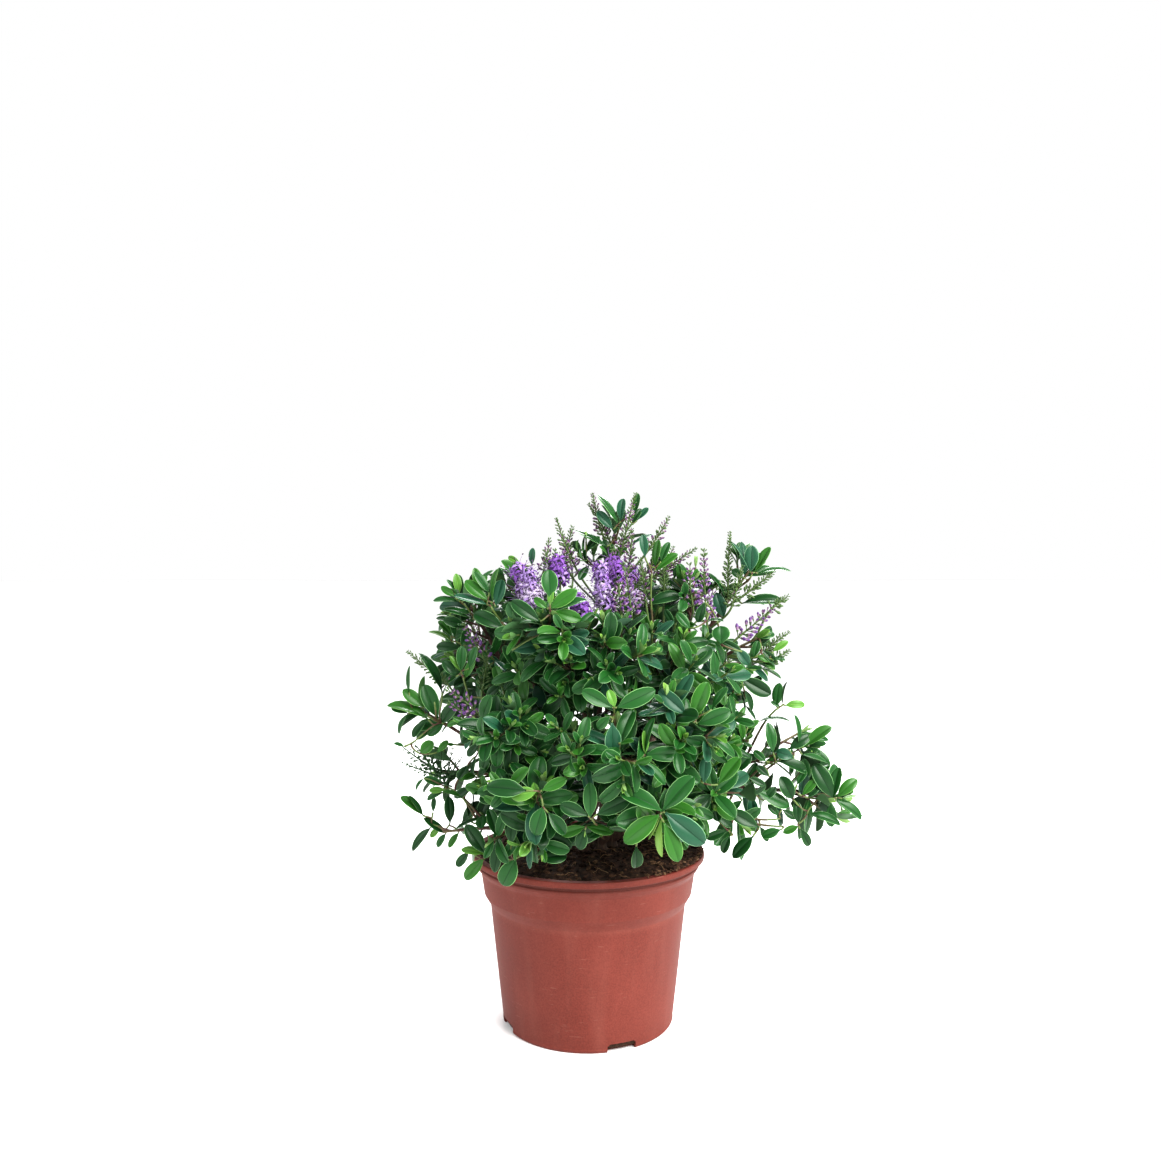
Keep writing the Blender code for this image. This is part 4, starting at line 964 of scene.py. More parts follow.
def make_pot():
    profile = [(0.0, FLOOR)]
    profile += reversed(inner_wall(0.0))
    groove_z = POT_HEIGHT - LIP_DEPTH
    profile += [
        (RIM_RADIUS, POT_HEIGHT),
        (LIP_RADIUS - LIP_ROUNDING / 3, POT_HEIGHT),
        (LIP_RADIUS, POT_HEIGHT - LIP_ROUNDING),
        (LIP_RADIUS, groove_z + 0.0004),
        (LIP_RADIUS - 0.0006, groove_z),
        (SKIRT_TOP_RADIUS + 0.0030, groove_z - 0.0008),
        (SKIRT_TOP_RADIUS + 0.0026, groove_z - 0.0026),
        (SKIRT_TOP_RADIUS + 0.0034, groove_z - 0.0034),
        (SKIRT_TOP_RADIUS + 0.0030, groove_z - 0.0052),
        (SKIRT_TOP_RADIUS + 0.0002, SKIRT_TOP_Z + 0.0006),
        (SKIRT_TOP_RADIUS - 0.0002, SKIRT_TOP_Z - 0.0006),
        (SKIRT_FOOT_RADIUS + 0.0003, SKIRT_FOOT_Z + 0.0006),
        (BODY_TOP_RADIUS + 0.0006, BODY_TOP_Z + 0.0008),
        (BODY_TOP_RADIUS, BODY_TOP_Z - 0.0004),
        (FOOT_RADIUS + 0.00035, 0.0030),
        (FOOT_RADIUS + 0.00055, 0.0020),
        (FOOT_RADIUS, FOOT_BEVEL),
        (FOOT_RADIUS - FOOT_BEVEL, 0.0),
        (0.0, 0.0),
    ]
    points, faces = lathe(rounded(profile, SOFT_EDGE), POT_STEPS)
    soup = Soup()
    soup.add(points, faces, 0)
    mesh = soup.mesh("pot_turned")
    obj = bpy.data.objects.new("pot_turned", mesh)
    bpy.context.scene.collection.objects.link(obj)
    bm = bmesh.new()
    depth = NOTCH_OUTER_RADIUS - NOTCH_INNER_RADIUS
    middle = Vector(((NOTCH_OUTER_RADIUS + NOTCH_INNER_RADIUS) / 2, 0.0, 0.0))
    for index in range(NOTCH_COUNT):
        turn = Matrix.Rotation(NOTCH_TURN + index * math.tau / NOTCH_COUNT, 4, "Z")
        size = Matrix.Diagonal((depth, NOTCH_WIDTH, 2 * NOTCH_HEIGHT, 1.0))
        bmesh.ops.create_cube(bm, size=1.0, matrix=turn @ Matrix.Translation(middle) @ size)
    bmesh.ops.bevel(
        bm,
        geom=[edge for edge in bm.edges if abs(edge.verts[0].co.z - edge.verts[1].co.z) < 1e-6],
        offset=0.0012,
        segments=3,
        affect="EDGES",
    )
    cutter_mesh = bpy.data.meshes.new("notch_cutter")
    bm.to_mesh(cutter_mesh)
    bm.free()
    cutter = bpy.data.objects.new("notch_cutter", cutter_mesh)
    bpy.context.scene.collection.objects.link(cutter)
    cut = obj.modifiers.new("notches", "BOOLEAN")
    cut.operation = "DIFFERENCE"
    cut.solver = "EXACT"
    cut.object = cutter
    graph = bpy.context.evaluated_depsgraph_get()
    made = bpy.data.meshes.new_from_object(obj.evaluated_get(graph))
    made.name = "pot_shell"
    for used in (obj, cutter):
        bpy.data.objects.remove(used)
    made.materials.clear()
    made.set_sharp_from_angle(angle=math.radians(50))
    shell = finished("pot_shell", made, [pot_material()])
    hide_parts("pot")


def soil_height(radius, angle):
    """The height of the soil's surface: mounded in the middle, heaped to the lip at one side."""
    share = min(radius / (RIM_RADIUS - GAP), 1.0)
    edge_z = POT_HEIGHT - SOIL_EDGE_DROP
    heap = 0.0
    if HEAP_FROM < angle < HEAP_TO:
        middle = (angle - HEAP_FROM) / (HEAP_TO - HEAP_FROM)
        heap = math.sin(math.pi * middle) * max(0.0, share - HEAP_INSIDE) / HEAP_SPAN
    z = edge_z + (POT_HEIGHT + SOIL_MOUND - edge_z) * (1 - share**2.2) + HEAP_RISE * heap
    lump = noise.noise(around_axis(radius, angle, 0.0) * 130.0)
    return z + SOIL_LUMP * lump * min(1.0, (1 - share) * 12 + 0.25)


def make_soil(rng):
    profile_below = inner_wall(GAP)
    points = [Vector((0.0, 0.0, soil_height(0.0, 0.0)))]
    for ring in range(1, SOIL_RINGS + 1):
        radius = (RIM_RADIUS - GAP) * ring / SOIL_RINGS
        for spoke in range(SOIL_SPOKES):
            angle = math.tau * spoke / SOIL_SPOKES
            signed = angle if angle < math.pi else angle - math.tau
            z = soil_height(radius, signed)
            points.append(around_axis(radius, angle, z))
    for radius, z in profile_below:
        for spoke in range(SOIL_SPOKES):
            angle = math.tau * spoke / SOIL_SPOKES
            points.append(around_axis(radius, angle, z))
    points.append(Vector((0.0, 0.0, FLOOR + GAP)))
    rings = SOIL_RINGS + len(profile_below)
    faces = []
    for spoke in range(SOIL_SPOKES):
        following = (spoke + 1) % SOIL_SPOKES
        faces.append((0, 1 + spoke, 1 + following))
        for ring in range(rings - 1):
            first = 1 + ring * SOIL_SPOKES
            second = first + SOIL_SPOKES
            faces.append((first + spoke, second + spoke, second + following, first + following))
        last = 1 + (rings - 1) * SOIL_SPOKES
        faces.append((last + spoke, len(points) - 1, last + following))
    soup = Soup()
    soup.add(points, faces, 0)
    peat = soil_material("peat", (0.020, 0.011, 0.007), (0.090, 0.048, 0.030))
    bed = finished("soil_bed", soup.mesh("soil_bed"), [peat])
    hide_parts("soil")

    crumbs = Soup()
    for _ in range(CRUMBS):
        radius = (RIM_RADIUS - 0.0014) * math.sqrt(rng.random())
        angle = rng.uniform(-math.pi, math.pi)
        size = CRUMB_SIZES[0] + (CRUMB_SIZES[1] - CRUMB_SIZES[0]) * rng.random() ** 2.5
        centre = around_axis(radius, angle, soil_height(radius, angle))
        crumbs.add(*blob(rng, centre + UP * size * 0.25, size), rng.choice((0, 0, 0, 1, 1, 2)))
    for _ in range(HEAP_CRUMBS):
        angle = HEAP_FROM + (HEAP_TO - HEAP_FROM) * (rng.random() + rng.random()) / 2
        radius = RIM_RADIUS + (LIP_RADIUS - 0.0016 - RIM_RADIUS) * rng.random() ** 0.8
        size = CRUMB_SIZES[0] + (CRUMB_SIZES[1] - CRUMB_SIZES[0]) * rng.random() ** 2
        height = POT_HEIGHT + size * 0.35 + 0.0016 * rng.random() * (LIP_RADIUS - radius) / 0.004
        centre = around_axis(radius, angle, height)
        crumbs.add(*blob(rng, centre, size), rng.choice((0, 0, 1, 1, 2)))
    shades = [
        soil_material("crumb_dark", (0.018, 0.010, 0.007), (0.065, 0.034, 0.022)),
        soil_material("crumb_brown", (0.050, 0.026, 0.016), (0.140, 0.074, 0.044)),
        soil_material("crumb_tan", (0.080, 0.046, 0.026), (0.200, 0.120, 0.068)),
    ]
    finished("soil_crumbs", crumbs.mesh("soil_crumbs", smooth=False), shades)

    fibres = Soup()
    for _ in range(FIBRES):
        radius = (RIM_RADIUS - 0.008) * math.sqrt(rng.random())
        angle = rng.uniform(-math.pi, math.pi)
        turn = rng.uniform(0, math.tau)
        length = rng.uniform(*FIBRE_LENGTHS)
        curl = rng.uniform(-1.6, 1.6)
        path = []
        place = around_axis(radius, angle, 0.0)
        for step in range(7):
            reach = math.hypot(place.x, place.y)
            around = math.atan2(place.y, place.x)
            lift = 0.0009 + 0.0012 * math.sin(math.pi * step / 6) * rng.random()
            path.append(Vector((place.x, place.y, soil_height(reach, around) + lift)))
            place = place + Vector((math.cos(turn), math.sin(turn), 0.0)) * length / 6
            turn += curl / 6
        if math.hypot(place.x, place.y) > RIM_RADIUS - 0.002:
            continue
        radii = [FIBRE_RADIUS * rng.uniform(0.7, 1.4)] * 7
        fibres.add(tube_points(path, radii, 5), tube_faces(7, 5), rng.choice((0, 0, 1)))
    tans = [
        soil_material("fibre_tan", (0.22, 0.13, 0.07), (0.42, 0.28, 0.16)),
        soil_material("fibre_brown", (0.09, 0.05, 0.03), (0.18, 0.10, 0.06)),
    ]
    finished("soil_fibres", fibres.mesh("soil_fibres"), tans)


# Limbs


def bezier(start, bend, end, t):
    return start * (1 - t) ** 2 + bend * 2 * t * (1 - t) + end * t**2


def limb_path(start, heading, end):
    """A curve that leaves start along heading and arches gently to end, as a function of 0 to 1."""
    across = (end - start).length
    flat = math.hypot(end.x - start.x, end.y - start.y)
    straight = (end - start).normalized()
    leaving = (heading + STRAIGHTNESS * straight).normalized()
    bend = start + leaving * BEND_PLACE * across + UP * ARCH * flat
    return lambda t: bezier(start, bend, end, t)


def taper(first, last, count):
    return [first + (last - first) * index / (count - 1) for index in range(count)]


class Limb:
    """A stem or bough as the few points that forks are chosen by, with its whole curve to draw it by."""

    def __init__(self, name, path, radii, curve=None, span=(0.0, 1.0)):
        self.name = name
        self.path = path
        self.radii = radii
        self.curve = curve
        self.span = span

    def place(self, fraction):
        """The point, the heading and the radius at a fraction of the limb."""
        along = fraction * (len(self.path) - 1)
        index = min(int(along), len(self.path) - 2)
        rest = along - index
        before, after = self.path[index], self.path[index + 1]
        radius = self.radii[index] * (1 - rest) + self.radii[index + 1] * rest
        return before.lerp(after, rest), (after - before).normalized(), radius


def mass_root(path, tip):
    length = (tip - path(0.0)).length
    return 1.0 - min(TWIG_LENGTH / length, MOST_OF_PATH)


def place_feet(tips):
    """The foot of every stem on the soil: the most upright in the middle, the others evenly round it."""
    tips = {name: Vector(tip) for name, tip in tips.items()}
    soil = Vector((0.0, 0.0, POT_HEIGHT + SOIL_MOUND + GAP))
    around = sorted(tips, key=lambda name: math.atan2(tips[name].y, tips[name].x))
    middle = min(tips, key=lambda name: math.hypot(tips[name].x, tips[name].y))
    around.remove(middle)
    step = math.tau / len(around)
    turns = [math.atan2(tips[name].y, tips[name].x) for name in around]
    first = sum(turn - index * step for index, turn in enumerate(turns)) / len(turns)
    feet = {middle: soil}
    for index, name in enumerate(around):
        turn = first + index * step
        feet[name] = soil + Vector((math.cos(turn), math.sin(turn), 0.0)) * STEM_RING
    return feet


def grow_stem(mass, foot):
    tip = Vector(mass[1])
    heel = foot + UP * STEM_FOOT
    path = limb_path(heel, UP, tip)
    root = mass_root(path, tip)
    points = [foot] + [path(root * step / (LIMB_POINTS - 1)) for step in range(LIMB_POINTS)]
    radii = [STEM_RADIUS * STEM_FLARE] + taper(STEM_RADIUS, STEM_TIP_RADIUS, LIMB_POINTS)
    return Limb("stem_" + mass[0], points, radii, path, (0.0, root)), [path(root), path(1.0)]


def distance_to(limb, point):
    """How far a point lies outside a limb's skin."""
    gaps = []
    for index in range(len(limb.path) - 1):
        before, after = limb.path[index], limb.path[index + 1]
        line = after - before
        share = max(0.0, min(1.0, (point - before).dot(line) / line.length_squared))
        radius = limb.radii[index] * (1 - share) + limb.radii[index + 1] * share
        gaps.append((point - before.lerp(after, share)).length - radius)
    return min(gaps)


def rim_points(centre, axis, radius, count=12):
    side = axis.orthogonal().normalized() * radius
    return [centre + Matrix.Rotation(math.tau * step / count, 3, axis) @ side for step in range(count)]


def crosses(path, limbs):
    """True where a path comes too near any limb after it has left its fork."""
    steps = [FORK_SHARE + (1 - FORK_SHARE) * step / PATH_SAMPLES for step in range(PATH_SAMPLES + 1)]
    points = [path(step) for step in steps]
    return any(distance_to(limb, point) < PATH_CLEARANCE for limb in limbs for point in points)


def choose_fork(tip, stems, limbs, taken):
    """The free place on a stem with the shortest, least sharply turned way to the tip past every limb."""
    forks = []
    for stem in stems:
        for fraction in FORK_FRACTIONS:
            point, heading, radius = stem.place(fraction)
            if any((point - other).length < FORK_SPACING for other in taken):
                continue
            reach = tip - point
            cost = reach.length * (1 + (reach.angle(heading) / WIDEST_FORK) ** 2)
            forks.append((cost, stem, point, heading, radius))
    forks.sort(key=lambda fork: fork[0])
    for _, stem, point, heading, radius in forks:
        if not crosses(limb_path(point, heading, tip), limbs):
            taken.append(point)
            return stem, point, heading, radius
    raise RuntimeError("no way through to a mass")


def clear_of(stem, path, radius):
    """How far along a path a limb of this radius first stands clear of the stem that it forks from."""
    step = 0.002
    start = 0.0
    while start < 0.5:
        start += step
        axis = (path(start + step) - path(start)).normalized()
        if min(distance_to(stem, point) for point in rim_points(path(start), axis, radius)) > GAP:
            break
    return start


def grow_twig(mass, stems, limbs, taken):
    """The twig of a mass that springs straight from the side of a stem."""
    tip = Vector(mass[1])
    stem, fork, _, _ = choose_fork(tip, stems, limbs, taken)
    return [fork.lerp(tip, clear_of(stem, lambda t: fork.lerp(tip, t), TWIG_RADIUS)), tip], fork


def grow_bough(mass, stems, limbs, taken):
    """The bough from its fork on a stem to where its mass begins."""
    tip = Vector(mass[1])
    stem, fork, heading, stem_radius = choose_fork(tip, stems, limbs, taken)
    path = limb_path(fork, heading, tip)
    radius = min(stem_radius, STEM_RADIUS) * BOUGH_SHARE
    root = mass_root(path, tip)
    start = clear_of(stem, path, radius)
    steps = [start + (root - start) * step / (LIMB_POINTS - 1) for step in range(LIMB_POINTS)]
    points = [path(step) for step in steps]
    radii = taper(radius, BOUGH_TIP_RADIUS, LIMB_POINTS)
    return Limb("bough_" + mass[0], points, radii, path, (0.0, root)), [path(root), path(1.0)]


def grow_limbs():
    """Every stem and bough, the twig of every mass as its two ends, and the curve that each twig follows."""
    led = [mass for mass in MASSES if mass[2] == "stem"]
    feet = place_feet({mass[0]: mass[1] for mass in led})
    stems, boughs, twigs, curves, taken = [], [], {}, {}, []
    for mass in led:
        stem, twigs[mass[0]] = grow_stem(mass, feet[mass[0]])
        curves[mass[0]] = (stem.curve, stem.span[1], STEM_TIP_RADIUS)
        stems.append(stem)
    for mass in MASSES:
        twig_radii = [TWIG_RADIUS, TWIG_RADIUS]
        limbs = stems + boughs + [Limb("twig", twig, twig_radii) for twig in twigs.values()]
        if mass[2] == "bough":
            bough, twigs[mass[0]] = grow_bough(mass, stems, limbs, taken)
            curves[mass[0]] = (bough.curve, bough.span[1], BOUGH_TIP_RADIUS)
            boughs.append(bough)
        elif mass[2] == "direct":
            twigs[mass[0]], fork = grow_twig(mass, stems, limbs, taken)
            straight = limb_path(fork, (twigs[mass[0]][1] - fork).normalized(), twigs[mass[0]][1])
            curves[mass[0]] = (straight, 0.0, TWIG_RADIUS)
    return stems, boughs, twigs, curves


def limb_tube(limb, is_stem):
    """A limb's centreline and radii, sampled finely enough for its bark's relief."""
    first, last = limb.span
    samples = [limb.curve(first + (last - first) * step / 40) for step in range(41)]
    length = sum((after - before).length for before, after in zip(samples, samples[1:]))
    count = max(12, int(length / BARK_STEP))
    points, radii = [], []
    start_radius = limb.radii[1] if is_stem else limb.radii[0]
    if is_stem:
        for step in range(8):
            share = step / 8
            points.append(limb.path[0].lerp(limb.path[1], share))
            radii.append(STEM_RADIUS * (STEM_FLARE + (1 - STEM_FLARE) * share**0.6))
    for step in range(count + 1):
        share = step / count
        points.append(limb.curve(first + (last - first) * share))
        radius = start_radius + (limb.radii[-1] - start_radius) * share
        if not is_stem:
            radius *= 1 + 0.35 * math.exp(-share * length / 0.006)
        radii.append(radius)
    return points, radii


def make_bark(stems, boughs, rng):
    soup = Soup()
    for limb in stems + boughs:
        points, radii = limb_tube(limb, limb in stems)
        shift = Vector((rng.uniform(0, 9), rng.uniform(0, 9), rng.uniform(0, 9)))
        ring_start = rng.uniform(0.0, BARK_RING_SPACING)
        along = [0.0]
        for before, after in zip(points, points[1:]):
            along.append(along[-1] + (after - before).length)

        def relief(ring, angle, place):
            around = Vector((math.cos(angle) * 2.2, math.sin(angle) * 2.2, along[ring] * 90))
            ridge = noise.noise(around + shift)
            grain = noise.noise(place * 900 + shift)
            away = abs((along[ring] + ring_start) % BARK_RING_SPACING - BARK_RING_SPACING / 2)
            scar = BARK_RING_SWELL * math.exp(-((away / 0.0009) ** 2))
            return 1 + BARK_RELIEF * ridge * 1.4 + 0.045 * grain + scar

        soup.add(tube_points(points, radii, BARK_SIDES, relief), tube_faces(len(points), BARK_SIDES), 0)
    limbs = finished("stems_and_boughs", soup.mesh("stems_and_boughs"), [bark_material()])
    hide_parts(*[limb.name for limb in stems + boughs])


# The space of each mass


def nearest_on(point, start, end):
    line = end - start
    share = max(0.0, min(1.0, (point - start).dot(line) / line.length_squared))
    return start.lerp(end, share)


def parting_plane(first, second):
    """The fairest plane that parts two twigs: a point on it and its direction away from the first."""
    on_first = (first[0] + first[1]) / 2
    for _ in range(NEAREST_ROUNDS):
        on_second = nearest_on(on_first, *second)
        on_first = nearest_on(on_second, *first)
    closest = (on_second - on_first).normalized()
    between = (second[0] + second[1] - first[0] - first[1]).normalized()
    for share in FAIR_SHARES:
        away = between.lerp(closest, share).normalized()
        low = max(away.dot(point) for point in first)
        high = min(away.dot(point) for point in second)
        if high - low > TWIG_SPACING:
            break
    return away * (low + high) / 2, away


def part_spaces(twigs):
    spaces = {name: [] for name in twigs}
    names = list(twigs)
    for index, name in enumerate(names):
        for other in names[index + 1 :]:
            middle, away = parting_plane(twigs[name], twigs[other])
            spaces[name].append((middle, away))
            spaces[other].append((middle, -away))
    return spaces


def room(space, start, heading, reach):
    """How far a shoot can run from start before it leaves the space."""
    for middle, away in space:
        closing = heading.dot(away)
        if closing > 0:
            reach = min(reach, ((middle - start).dot(away) + SPACE_OVERLAP) / closing)
    return reach


# Leaves

# Leaves at the crown's surface are drawn finely and those behind them with fewer rows
FINE_LEAF = {
    "rows": np.array((0.0, 0.07, 0.17, 0.30, 0.45, 0.60, 0.74, 0.86, 0.95, 1.0)),
    "widths": np.array((0.11, 0.16, 0.49, 0.82, 0.98, 1.0, 0.92, 0.72, 0.42, 0.06)),
    "columns": np.array((-1.0, -0.93, -0.48, -0.06, 0.0, 0.06, 0.48, 0.93, 1.0)),
    "strips": ("margin", "blade", "blade", "rib_and_crease_shade", "rib_and_crease_shade", "blade", "blade", "margin"),
}
PLAIN_LEAF = {
    "rows": np.array((0.0, 0.14, 0.36, 0.62, 0.85, 1.0)),
    "widths": np.array((0.11, 0.42, 0.91, 1.0, 0.74, 0.08)),
    "columns": np.array((-1.0, -0.92, 0.0, 0.92, 1.0)),
    "strips": ("margin", "blade", "blade", "margin"),
}
LEAF_THICKNESS = 0.00028

# Every tint of leaf: blade, margin, rib and underside colours, and the blade's roughness. The deep, mid,
# blue and grass ribs are darker than their blades, as painted shade in the crease along the rib; the fresh
# and young ribs are their own paler colour.
TINTS = {
    "deep": (
        (0.007, 0.048, 0.009), (0.160, 0.320, 0.130), (0.006, 0.034, 0.009), (0.060, 0.130, 0.060),
        0.34,
    ),
    "mid": (
        (0.013, 0.080, 0.014), (0.190, 0.360, 0.145), (0.011, 0.058, 0.013), (0.075, 0.165, 0.070),
        0.34,
    ),
    "blue": (
        (0.015, 0.076, 0.038), (0.180, 0.340, 0.190), (0.010, 0.054, 0.026), (0.080, 0.165, 0.100),
        0.36,
    ),
    "grass": (
        (0.026, 0.118, 0.013), (0.190, 0.370, 0.110), (0.026, 0.105, 0.016), (0.090, 0.190, 0.065),
        0.34,
    ),
    "fresh": (
        (0.080, 0.205, 0.030), (0.240, 0.420, 0.110), (0.130, 0.265, 0.048), (0.120, 0.225, 0.070),
        0.36,
    ),
    "young": (
        (0.210, 0.370, 0.085), (0.330, 0.500, 0.150), (0.270, 0.430, 0.110), (0.200, 0.320, 0.115),
        0.40,
    ),
}
TINT_NAMES = list(TINTS)
LOW_TINTS = ("deep", "mid", "deep", "blue", "mid")
HIGH_TINTS = ("mid", "blue", "mid", "grass")
LEAF_PARTS = ("blade", "margin", "rib_and_crease_shade", "underside")


def leaf_materials():
    made = []
    for tint, (blade, margin, rib_and_crease_shade, under, roughness) in TINTS.items():
        made.append(plain(f"leaf_{tint}_blade", blade, roughness, 0.25, 0.06))
        made.append(plain(f"leaf_{tint}_margin", margin, 0.50, 0.2))
        # The rib's finish: on deep, mid, blue and grass tints a darker green painted as shade in the rib's
        # crease; on fresh and young tints the rib's own paler colour.
        made.append(plain(f"leaf_{tint}_rib", rib_and_crease_shade, 0.42, 0.2))
        made.append(plain(f"leaf_{tint}_underside", under, 0.65, 0.12))
    return made


def leaf_template(shape):
    """The quads of one leaf and the part that each belongs to."""
    rows, columns = len(shape["rows"]), len(shape["columns"])
    per_row = columns + 1
    faces, parts = [], []
    for row in range(rows - 1):
        for column in range(columns - 1):
            first = row * per_row + column
            faces.append((first, first + 1, first + per_row + 1, first + per_row))
            parts.append(LEAF_PARTS.index(shape["strips"][column]))
        left, right, under = row * per_row, row * per_row + columns - 1, row * per_row + columns
        faces.append((left, left + per_row, under + per_row, under))
        faces.append((under, under + per_row, right + per_row, right))
        parts += [LEAF_PARTS.index("underside")] * 2
    last = (rows - 1) * per_row
    for column in range(columns - 1, 0, -2):
        faces.append((columns, column, column - 1, column - 2))
        faces.append((last + columns, last + column - 2, last + column - 1, last + column))
        parts += [LEAF_PARTS.index("rib_and_crease_shade")] * 2
    return np.array(faces), np.array(parts)


def leaf_points(leaves, shape):
    """The corners of every leaf at once: rows along it, columns across it and one under its rib."""
    root, heading, face = (
        np.array([leaf[key] for leaf in leaves])[:, None, :] for key in ("root", "heading", "face")
    )
    sizes = ("length", "width", "bend", "twist", "widest")
    length, width, bend, twist, place = (np.array([leaf[key] for leaf in leaves])[:, None] for key in sizes)
    fold, droop = (np.array([leaf[key] for leaf in leaves])[:, None, None] for key in ("fold", "droop"))
    across = np.cross(heading, face)
    half = width * length / 2
    rows = shape["rows"][None, :]
    middles = (rows[:, 1:] + rows[:, :-1]) / 2
    steps = (rows[:, 1:] - rows[:, :-1]) * length
    turned = bend * (middles - 0.30)
    zero = np.zeros((len(leaves), 1))
    along = np.concatenate([zero, np.cumsum(np.cos(turned) * steps, axis=1)], axis=1)
    sunk = np.concatenate([zero, np.cumsum(-np.sin(turned) * steps, axis=1)], axis=1)
    centre = root + along[..., None] * heading + sunk[..., None] * face
    angle = (bend * (rows - 0.30))[..., None]
    over = np.sin(angle) * heading + np.cos(angle) * face
    turn = (twist * rows)[..., None]
    side = across * np.cos(turn) + over * np.sin(turn)
    lift = over * np.cos(turn) - across * np.sin(turn)
    skew = np.power(rows, place)
    widths = np.interp(skew.ravel(), shape["rows"], shape["widths"]).reshape(skew.shape) * half
    columns = shape["columns"][None, None, :]
    x = widths[..., None] * columns * np.cos(0.5 * fold * np.abs(columns))
    z = widths[..., None] * (fold * np.abs(columns) - droop * columns**2)
    top = centre[:, :, None, :] + x[..., None] * side[:, :, None, :] + z[..., None] * lift[:, :, None, :]
    under = centre - LEAF_THICKNESS * lift * np.minimum(1.0, 0.25 + 3 * (1 - rows))[..., None]
    return np.concatenate([top, under[:, :, None, :]], axis=2)


def leaf_piece(name, leaves, materials):
    """Every leaf of a region in one mesh."""
    points, faces, kinds, margins = [], [], [], []
    count = 0
    for fine, shape in ((True, FINE_LEAF), (False, PLAIN_LEAF)):
        chosen = [leaf for leaf in leaves if leaf["fine"] == fine]
        if not chosen:
            continue
        quads, parts = leaf_template(shape)
        corners = leaf_points(chosen, shape)
        per_leaf = corners.shape[1] * corners.shape[2]
        offsets = count + np.arange(len(chosen)) * per_leaf
        points.append(corners.reshape(-1, 3))
        faces.append((quads[None, :, :] + offsets[:, None, None]).reshape(-1, 4))
        tints = np.array([TINT_NAMES.index(leaf["tint"]) for leaf in chosen])
        kinds.append((tints[:, None] * len(LEAF_PARTS) + parts[None, :]).ravel())
        side = np.zeros(corners.shape[1:3], np.int8)
        side[:, 0] = 1
        side[:, len(shape["columns"]) - 1] = 2
        margins.append(np.tile(side.ravel(), len(chosen)))
        count += len(chosen) * per_leaf
    points, faces, kinds, margins = (np.concatenate(part) for part in (points, faces, kinds, margins))
    mesh = bpy.data.meshes.new(name)
    mesh.from_pydata(points.tolist(), [], faces.tolist())
    mesh.polygons.foreach_set("material_index", kinds.astype(np.int32))
    mesh.polygons.foreach_set("use_smooth", np.ones(len(kinds), bool))
    mesh.update()
    ends = np.empty(len(mesh.edges) * 2, np.int32)
    mesh.edges.foreach_get("vertices", ends)
    ends = margins[ends.reshape(-1, 2)]
    sharp = (ends[:, 0] > 0) & (ends[:, 0] == ends[:, 1])
    marked = mesh.attributes.new("sharp_edge", "BOOLEAN", "EDGE")
    marked.data.foreach_set("value", sharp)
    return finished(name, mesh, materials)


# Growth


def column_and_row(point):
    """Where the camera sees a point, in pixels of the photograph."""
    offset = point - Vector(CAMERA_PLACE)
    depth = offset.y * math.cos(CAMERA_PITCH) + offset.z * math.sin(CAMERA_PITCH)
    rise = offset.z * math.cos(CAMERA_PITCH) - offset.y * math.sin(CAMERA_PITCH)
    middle = (FRAME_SIZE - 1) / 2
    return AXIS_COLUMN + FOCAL_PIXELS * offset.x / depth, middle - FOCAL_PIXELS * rise / depth


def spot(column, row, depth):
    """The place at a depth that the camera sees at a pixel of the photograph."""
    across = (column - AXIS_COLUMN) / FOCAL_PIXELS
    rise = ((FRAME_SIZE - 1) / 2 - row) / FOCAL_PIXELS
    ahead = math.cos(CAMERA_PITCH) - rise * math.sin(CAMERA_PITCH)
    above = math.sin(CAMERA_PITCH) + rise * math.cos(CAMERA_PITCH)
    reach = (depth - CAMERA_PLACE[1]) / ahead
    return Vector((across * reach, depth, CAMERA_PLACE[2] + above * reach))


def in_sky(point):
    """True where the camera sees the point beside the crown's edge or in a window of sky."""
    column, row = column_and_row(point)
    for upper, lower in zip(CROWN_EDGES, CROWN_EDGES[1:]):
        (above, first_left, first_right), (below, last_left, last_right) = upper, lower
        if above <= row < below:
            share = (row - above) / (below - above)
            left = first_left + (last_left - first_left) * share
            right = first_right + (last_right - first_right) * share
            if not left - 1 < column < right + 1:
                return True
    for middle, height, half_width, half_height in SKY_WINDOWS:
        if ((column - middle) / half_width) ** 2 + ((row - height) / half_height) ** 2 < 1:
            return True
    return False


def turned_from(axis, angle, turn):
    """The direction at an angle from axis, turned about it from the right."""
    right = Vector((1.0, 0.0, 0.0))
    side = right - axis * right.dot(axis)
    if side.length < 0.2:
        side = UP - axis * UP.dot(axis)
    side = (Matrix.Rotation(turn, 3, axis) @ side).normalized()
    return (axis * math.cos(angle) + side * math.sin(angle)).normalized()


def bent_path(start, leaving, end, arriving, count):
    """A smooth path between two places with its heading given at both."""
    reach = (end - start).length / 3
    first = start + leaving * reach
    second = end - arriving * reach
    path = []
    for step in range(count + 1):
        t = step / count
        path.append(
            start * (1 - t) ** 3 + first * 3 * t * (1 - t) ** 2 + second * 3 * t**2 * (1 - t) + end * t**3
        )
    return path


class Shoot:
    """A twig of any order: its path, its radii, its mass and how far it is from the limb."""

    def __init__(self, path, first_radius, last_radius, mass, order):
        self.path = path
        self.radii = taper(first_radius, last_radius, len(path))
        self.mass = mass
        self.order = order
        self.along = [0.0]
        for before, after in zip(path, path[1:]):
            self.along.append(self.along[-1] + (after - before).length)
        self.length = self.along[-1]
        self.tree = None

    def at(self, distance):
        """The point, heading and radius at a distance along the shoot."""
        distance = max(0.0, min(self.length, distance))
        index = 0
        while index < len(self.along) - 2 and self.along[index + 1] < distance:
            index += 1
        span = self.along[index + 1] - self.along[index]
        share = (distance - self.along[index]) / span if span else 0.0
        before, after = self.path[index], self.path[index + 1]
        radius = self.radii[index] * (1 - share) + self.radii[index + 1] * share
        return before.lerp(after, share), (after - before).normalized(), radius


